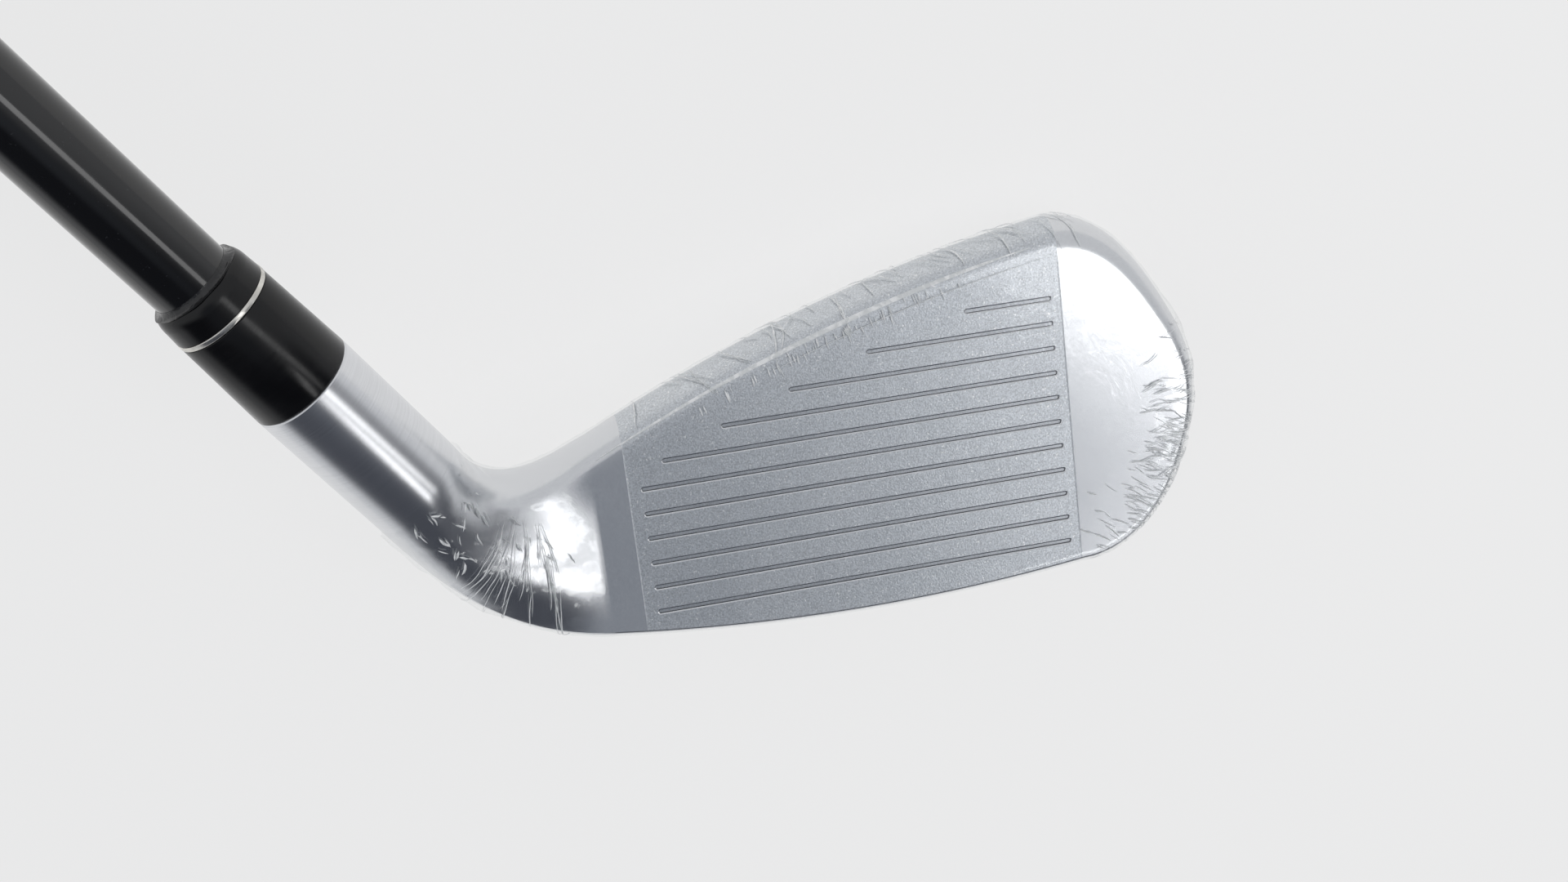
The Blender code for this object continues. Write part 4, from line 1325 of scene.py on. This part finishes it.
class CLUB_OT_make_film(bpy.types.Operator):
    """Makes the clear film round the head, with its creases"""

    bl_idname = "club.make_film"
    bl_label = "Make the film"

    def execute(self, context):
        shape, colours = context.scene.club_shape, context.scene.club_finish
        sheet, skin = film_sheet(shape, FILM_FINENESS)
        tree = BVHTree.FromBMesh(skin)
        skin.free()
        chance = random.Random(CREASE_SEED)
        kinds = (
            (TOPLINE_CREASES, topline_creases),
            (LAP_CREASES, lap_creases),
            (TOE_CREASES, toe_creases),
            (NECK_CREASES, neck_creases),
            (NECK_FLAKES, neck_flakes),
        )
        for kind, creases in kinds:
            for start, heading, length, width in creases(chance):
                path = crease_path(tree, start, heading, length, kind.wander, chance)
                add_crease(sheet, path, width, kind.height)
        for first, last, drop, width in EDGE_HIGHLIGHT_AND_LAP_LINES:
            add_crease(sheet, edge_path(tree, first, last, drop), width, EDGE_LINE_HEIGHT)
        # The creases and edge lines take the second finish, painted light as glints.
        finishes = [clear_film(colours), crease_painted_glint(colours)]
        add_piece("head_clear_film", sheet, finishes, "clear_film", ("head_film",), HEAD_PLACE)
        return {"FINISHED"}


# Ferrule

def ferrule_radius(s):
    """Outer radius of the ferrule at height s."""
    return HOSEL_RADIUS - FERRULE_TAPER * (s - HOSEL_TOP)


def sleeve_profile(low, high, proud, edge):
    """A tapered sleeve with rounded edges, on the ferrule's outline."""
    top, foot = ferrule_radius(high) + proud, ferrule_radius(low) + proud
    turns = quarter_round(EDGE_POINTS)
    profile = [(top - edge * (1 - sine), high - edge * (1 - cosine)) for sine, cosine in turns]
    profile += [(foot - edge * (1 - cosine), low + edge * (1 - sine)) for sine, cosine in turns]
    return profile + [(BORE_RADIUS, low), (BORE_RADIUS, high)]


def collar_profile(low, high):
    """The collar: a straight side that rounds over to the shaft."""
    side = ferrule_radius(high)
    top_edge = BORE_RADIUS + COLLAR_LAND
    profile = [(BORE_RADIUS, high)]
    for sine, cosine in quarter_round(COLLAR_POINTS):
        profile.append((mix(top_edge, side, sine), high - COLLAR_ROUND * (1 - cosine)))
    return profile + [(ferrule_radius(low), low), (BORE_RADIUS, low)]


def bead_profile(low):
    """A hollow fillet of adhesive between the collar and the shaft."""
    inner = SHAFT_TIP_RADIUS + BEAD_GAP
    profile = []
    for sine, cosine in quarter_round(BEAD_POINTS):
        profile.append((inner + BEAD_WIDTH * (1 - cosine), low + BEAD_WIDTH * (1 - sine)))
    return profile + [(inner, low)]


def bead_swell(height, angle, radius):
    """Unevenness of the adhesive bead round the shaft."""
    if radius < BORE_RADIUS:
        return 0.0
    place = Vector((BEAD_LUMPS * math.cos(angle), BEAD_LUMPS * math.sin(angle), height))
    return BEAD_UNEVENNESS * noise.noise(place)


class CLUB_OT_make_ferrule(bpy.types.Operator):
    """Makes the ferrule, its trim ring, the collar and the adhesive bead"""

    bl_idname = "club.make_ferrule"
    bl_label = "Make the ferrule"

    def execute(self, context):
        colours = context.scene.club_finish
        black = turned_plastic(colours)
        body = sleeve_profile(HOSEL_TOP + JOINT_LINE, RING_LOW - JOINT_LINE, 0.0, EDGE_ROUND)
        ring = sleeve_profile(RING_LOW, RING_HIGH, TRIM_RING_PROUD, EDGE_ROUND)
        collar = collar_profile(RING_HIGH + JOINT_LINE, COLLAR_TOP)
        bead = bead_profile(COLLAR_TOP - BEAD_SINK)
        pieces = (
            ("ferrule_sleeve", body, black, "ferrule_black", "ferrule_body", None),
            ("ferrule_bright_ring", ring, trim_metal(colours), "trim_silver", "ferrule_trim_ring", None),
            ("ferrule_round_collar", collar, black, "ferrule_black", "ferrule_collar", None),
            ("adhesive_fillet", bead, wet_adhesive(colours), "adhesive", "adhesive_bead", bead_swell),
        )
        for name, profile, surface, slot, node, swell in pieces:
            mesh = turned_mesh(profile, ROUND_SIDES, swell)
            add_piece(name, mesh, [surface], slot, (node,), SHAFT_PLACE)
        return {"FINISHED"}


# Shaft and grip

def shaft_radius(s):
    """Outer radius of the shaft at height s: a parallel tip, then an even taper."""
    taper_start = SHAFT_TIP + SHAFT_PARALLEL_TIP
    share = max(0.0, (s - taper_start) / (SHAFT_BUTT - taper_start))
    return mix(SHAFT_TIP_RADIUS, SHAFT_BUTT_RADIUS, share)


class CLUB_OT_make_shaft(bpy.types.Operator):
    """Makes the painted shaft"""

    bl_idname = "club.make_shaft"
    bl_label = "Make the shaft"

    def execute(self, context):
        heights = [mix(SHAFT_BUTT, SHAFT_TIP, t) for t in shares(SHAFT_SECTIONS)]
        profile = [(shaft_radius(s), s) for s in heights]
        profile += [(shaft_radius(s) - SHAFT_WALL, s) for s in reversed(heights)]
        tube = turned_mesh(profile)
        paint = gloss_paint(context.scene.club_finish)
        add_piece("painted_shaft", tube, [paint], "shaft_gloss_black", ("shaft",), SHAFT_PLACE)
        return {"FINISHED"}


def groove_share(position):
    """Depth share of a groove that repeats at each whole number."""
    off = abs(position - round(position))
    return 1 - ramp(off, 0.0, GRIP_GROOVE_SHARE / 2)


def grip_swell(shape):
    """What the grip's pattern takes off its radius: two families of winding grooves between two rings."""
    depth = shape.grip_groove / MM
    pitch = shape.grip_pitch / MM

    def swell(height, angle, radius):
        above, below = height - GRIP_LOW, SHAFT_BUTT - height
        if radius < GRIP_MOUTH_RADIUS - GRIP_MOUTH_ROUND / 2:
            return 0.0
        for edge in (above - GRIP_PLAIN_MOUTH, below - GRIP_PLAIN_BUTT):
            if abs(edge) < GRIP_RING_WIDTH:
                return -depth * (1 - ramp(abs(edge), 0.0, GRIP_RING_WIDTH))
        if above < GRIP_PLAIN_MOUTH or below < GRIP_PLAIN_BUTT:
            return 0.0
        turns = GRIP_LOZENGES * angle / (2 * math.pi)
        along = height / pitch
        return -depth * max(groove_share(turns + along), groove_share(turns - along))
    return swell


def grip_profile():
    """The grip's outer side with a rounded mouth, then its bore."""
    rows = []
    for t in shares(GRIP_ROWS):
        height = mix(SHAFT_BUTT, GRIP_LOW + GRIP_MOUTH_ROUND, t)
        rows.append((mix(GRIP_BUTT_RADIUS, GRIP_MOUTH_RADIUS, t), height))
    for sine, cosine in quarter_round(GRIP_MOUTH_POINTS)[1:]:
        drop = GRIP_MOUTH_ROUND * (1 - cosine)
        rows.append((GRIP_MOUTH_RADIUS - drop, GRIP_LOW + GRIP_MOUTH_ROUND * (1 - sine)))
    bore = [(shaft_radius(s) + 2 * CLEARANCE + GRIP_TAPE_THICKNESS, s) for s in (GRIP_LOW, SHAFT_BUTT)]
    return rows + bore


def cap_profile():
    """The cap: a round edge, a shallow ring on its end and the vent."""
    low, high = SHAFT_BUTT + JOINT_LINE, SHAFT_BUTT + CLEARANCE + CAP_THICKNESS
    profile = [(CAP_VENT_RADIUS, high - CAP_VENT_CHAMFER), (CAP_VENT_RADIUS + CAP_VENT_CHAMFER, high)]
    profile += [(radius, high - depth) for radius, depth in CAP_RING]
    for sine, cosine in quarter_round(CAP_POINTS):
        profile.append((CAP_RADIUS - CAP_ROUND * (1 - sine), high - CAP_ROUND * (1 - cosine)))
    profile += [(CAP_RADIUS, low + CAP_FOOT_CHAMFER), (CAP_RADIUS - CAP_FOOT_CHAMFER, low)]
    return profile + [(CAP_VENT_RADIUS, low)]


class CLUB_OT_make_grip(bpy.types.Operator):
    """Makes the rubber grip and its cap"""

    bl_idname = "club.make_grip"
    bl_label = "Make the grip"

    def execute(self, context):
        rubber = grip_rubber(context.scene.club_finish)
        sleeve = turned_mesh(grip_profile(), GRIP_SIDES, grip_swell(context.scene.club_shape))
        add_piece("grip_patterned_sleeve", sleeve, [rubber], "grip_rubber", ("grip_sleeve",), SHAFT_PLACE)
        cap = turned_mesh(cap_profile())
        add_piece("grip_end_cap", cap, [rubber], "grip_rubber", ("grip_cap",), SHAFT_PLACE)
        return {"FINISHED"}


class CLUB_OT_finish_hidden(bpy.types.Operator):
    """Gives the hidden solids their finishes"""

    bl_idname = "club.finish_hidden"
    bl_label = "Finish the hidden pieces"

    def execute(self, context):
        colours = context.scene.club_finish
        metal = {"Metallic": 1.0}
        finishes = {
            "sole_weight": grained("sintered_tungsten", colours.tungsten, 0.3, metal, 0.45),
            "tip_weight_pin": grained("turned_brass", colours.brass, 0.2, metal, 0.35),
            "tip_plug": grained("pressed_cork", colours.cork, 0.9, {"IOR": 1.4}, 0.88),
            "grip_tape": grained("paper_tape", colours.tape, 0.4, {"IOR": 1.4}, 0.85),
        }
        for node, surface in finishes.items():
            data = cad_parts[node].data
            data.materials.clear()
            data.materials.append(surface)
        return {"FINISHED"}


# Stage, in metres

FLOOR_REACH = 15.0
FLOOR_CELLS = 8
FLOOR_DROP = 0.0005
FLOOR_GLOW = 0.8


def floor_surface(stage):
    """A pale floor that keeps a faint shadow."""
    made = bpy.data.materials.new("pale_floor")
    made.use_nodes = True
    nodes = Nodes(made.node_tree)
    shader = made.node_tree.nodes["Principled BSDF"]
    shader.inputs["Base Color"].default_value = (*stage.floor, 1.0)
    shader.inputs["Roughness"].default_value = 0.9
    shader.inputs["Specular IOR Level"].default_value = 0.0
    glow = nodes.add("ShaderNodeEmission", {"Color": (*stage.floor, 1.0), "Strength": 1.0})
    share = nodes.math("MULTIPLY", seen_directly(nodes), FLOOR_GLOW)
    mixed = nodes.add("ShaderNodeMixShader", {0: share, 1: shader.outputs[0], 2: glow.outputs[0]})
    nodes.feed(made.node_tree.nodes["Material Output"], "Surface", mixed.outputs[0])
    return made


def seen_directly(nodes):
    """1 for what the camera sees, straight or in a mirror or through glass."""
    path = nodes.add("ShaderNodeLightPath").outputs
    mirrored = nodes.math("MAXIMUM", path["Is Glossy Ray"], path["Is Transmission Ray"])
    return nodes.math("MAXIMUM", path["Is Camera Ray"], mirrored)


class Lamp(NamedTuple):
    """A soft lamp that hangs level above the club and shines down; lengths in metres."""

    name: str
    place: Vector
    turn: float
    length: float
    width: float
    share: float


LAMP_HEIGHT = 0.30
LAMPS = (
    Lamp("toe_lamp", Vector((0.548, 0.186, LAMP_HEIGHT)), math.radians(17.5), 0.23, 0.08, 1.05),
    Lamp("heel_lamp", Vector((0.600, 0.085, LAMP_HEIGHT)), math.radians(-70.0), 0.08, 0.04, 2.1),
)

# The room's dark side and dim ceiling: where each starts and is full
SHADE_SIDE = Vector((0.97, -0.24, 0.0))
SHADE_EDGE = (0.0, 0.3)
SHADE_RISE = (0.15, 0.5)
CEILING_EDGE = (0.91, 0.995)


def room_colour(nodes, stage):
    """Colour of the room by direction: pale walls, a dark side above the floor and a dim ceiling."""
    direction = nodes.add("ShaderNodeTexCoord").outputs["Generated"]
    height = nodes.add("ShaderNodeSeparateXYZ", {0: direction}).outputs["Z"]
    toward = nodes.add("ShaderNodeVectorMath", {0: direction, 1: SHADE_SIDE}, operation="DOT_PRODUCT")
    shaded = nodes.ramp(toward.outputs["Value"], *SHADE_EDGE)
    raised = nodes.ramp(height, *SHADE_RISE)
    room = nodes.blend(nodes.math("MULTIPLY", shaded, raised), stage.walls, stage.shade)
    return nodes.blend(nodes.ramp(height, *CEILING_EDGE), room, stage.ceiling)


def add_lamp(lamp, power):
    """A soft rectangular lamp of a given power per square metre."""
    data = bpy.data.lights.new(lamp.name, "AREA")
    data.shape = "RECTANGLE"
    data.size, data.size_y = lamp.length, lamp.width
    data.energy = power * lamp.share * lamp.length * lamp.width
    made = new_object(lamp.name, data)
    made.visible_camera = False
    made.location = lamp.place
    made.rotation_euler.z = lamp.turn


class CLUB_OT_set_stage(bpy.types.Operator):
    """Sets the floor, the light and the camera"""

    bl_idname = "club.set_stage"
    bl_label = "Set the stage"

    def execute(self, context):
        stage = context.scene.club_stage
        self.add_floor(stage)
        self.add_light(context.scene, stage)
        self.add_camera(context.scene, stage)
        context.scene.view_settings.view_transform = "Standard"
        return {"FINISHED"}

    def add_floor(self, stage):
        """A wide plane under the club."""
        mesh = bmesh.new()
        bmesh.ops.create_grid(mesh, x_segments=FLOOR_CELLS, y_segments=FLOOR_CELLS, size=FLOOR_REACH)
        data = bpy.data.meshes.new("floor")
        mesh.to_mesh(data)
        mesh.free()
        data.materials.append(floor_surface(stage))
        floor = new_object("floor", data)
        floor.location.z = -FLOOR_DROP

    def add_light(self, scene, stage):
        """Light from the room, with one dark side, and from the soft lamps."""
        world = bpy.data.worlds.new("room")
        world.use_nodes = True
        nodes = Nodes(world.node_tree)
        nodes.feed(world.node_tree.nodes["Background"], "Color", room_colour(nodes, stage))
        scene.world = world
        for lamp in LAMPS:
            add_lamp(lamp, stage.lamp_power)

    def add_camera(self, scene, stage):
        """The camera at the photograph's viewing angle."""
        data = bpy.data.cameras.new("photo_camera")
        data.sensor_width = CAMERA_SENSOR
        data.lens = stage.lens
        data.clip_start = CAMERA_NEAR_LIMIT
        camera = new_object("photo_camera", data)
        back = CAMERA_RIGHT.cross(CAMERA_UP)
        turn = Matrix((CAMERA_RIGHT, CAMERA_UP, back)).transposed().to_4x4()
        camera.matrix_world = HEAD_PLACE @ Matrix.Translation(CAMERA_PLACE * MM) @ turn
        scene.camera = camera


class CLUB_PT_bench(bpy.types.Panel):
    """Lists the steps and the settings"""

    bl_idname = "CLUB_PT_bench"
    bl_label = "Hybrid golf club"
    bl_space_type = "VIEW_3D"
    bl_region_type = "UI"
    bl_category = "Club"

    def draw(self, context):
        for step in STEPS:
            self.layout.operator(step.bl_idname)
        for settings in (context.scene.club_shape, context.scene.club_finish, context.scene.club_stage):
            box = self.layout.box()
            for name in settings.__annotations__:
                box.prop(settings, name)


SETTINGS = {"club_shape": ClubShape, "club_finish": ClubFinish, "club_stage": ClubStage}
STEPS = (
    CLUB_OT_make_head,
    CLUB_OT_make_film,
    CLUB_OT_make_ferrule,
    CLUB_OT_make_shaft,
    CLUB_OT_make_grip,
    CLUB_OT_finish_hidden,
    CLUB_OT_set_stage,
)


def register():
    for made in (*SETTINGS.values(), *STEPS, CLUB_PT_bench):
        bpy.utils.register_class(made)
    for name, settings in SETTINGS.items():
        setattr(bpy.types.Scene, name, PointerProperty(type=settings))


def unregister():
    for name in SETTINGS:
        delattr(bpy.types.Scene, name)
    for made in reversed((*SETTINGS.values(), *STEPS, CLUB_PT_bench)):
        bpy.utils.unregister_class(made)


def main():
    register()
    bpy.ops.club.make_head()
    bpy.ops.club.make_film()
    bpy.ops.club.make_ferrule()
    bpy.ops.club.make_shaft()
    bpy.ops.club.make_grip()
    bpy.ops.club.finish_hidden()
    bpy.ops.club.set_stage()


if __name__ == "__main__":
    main()
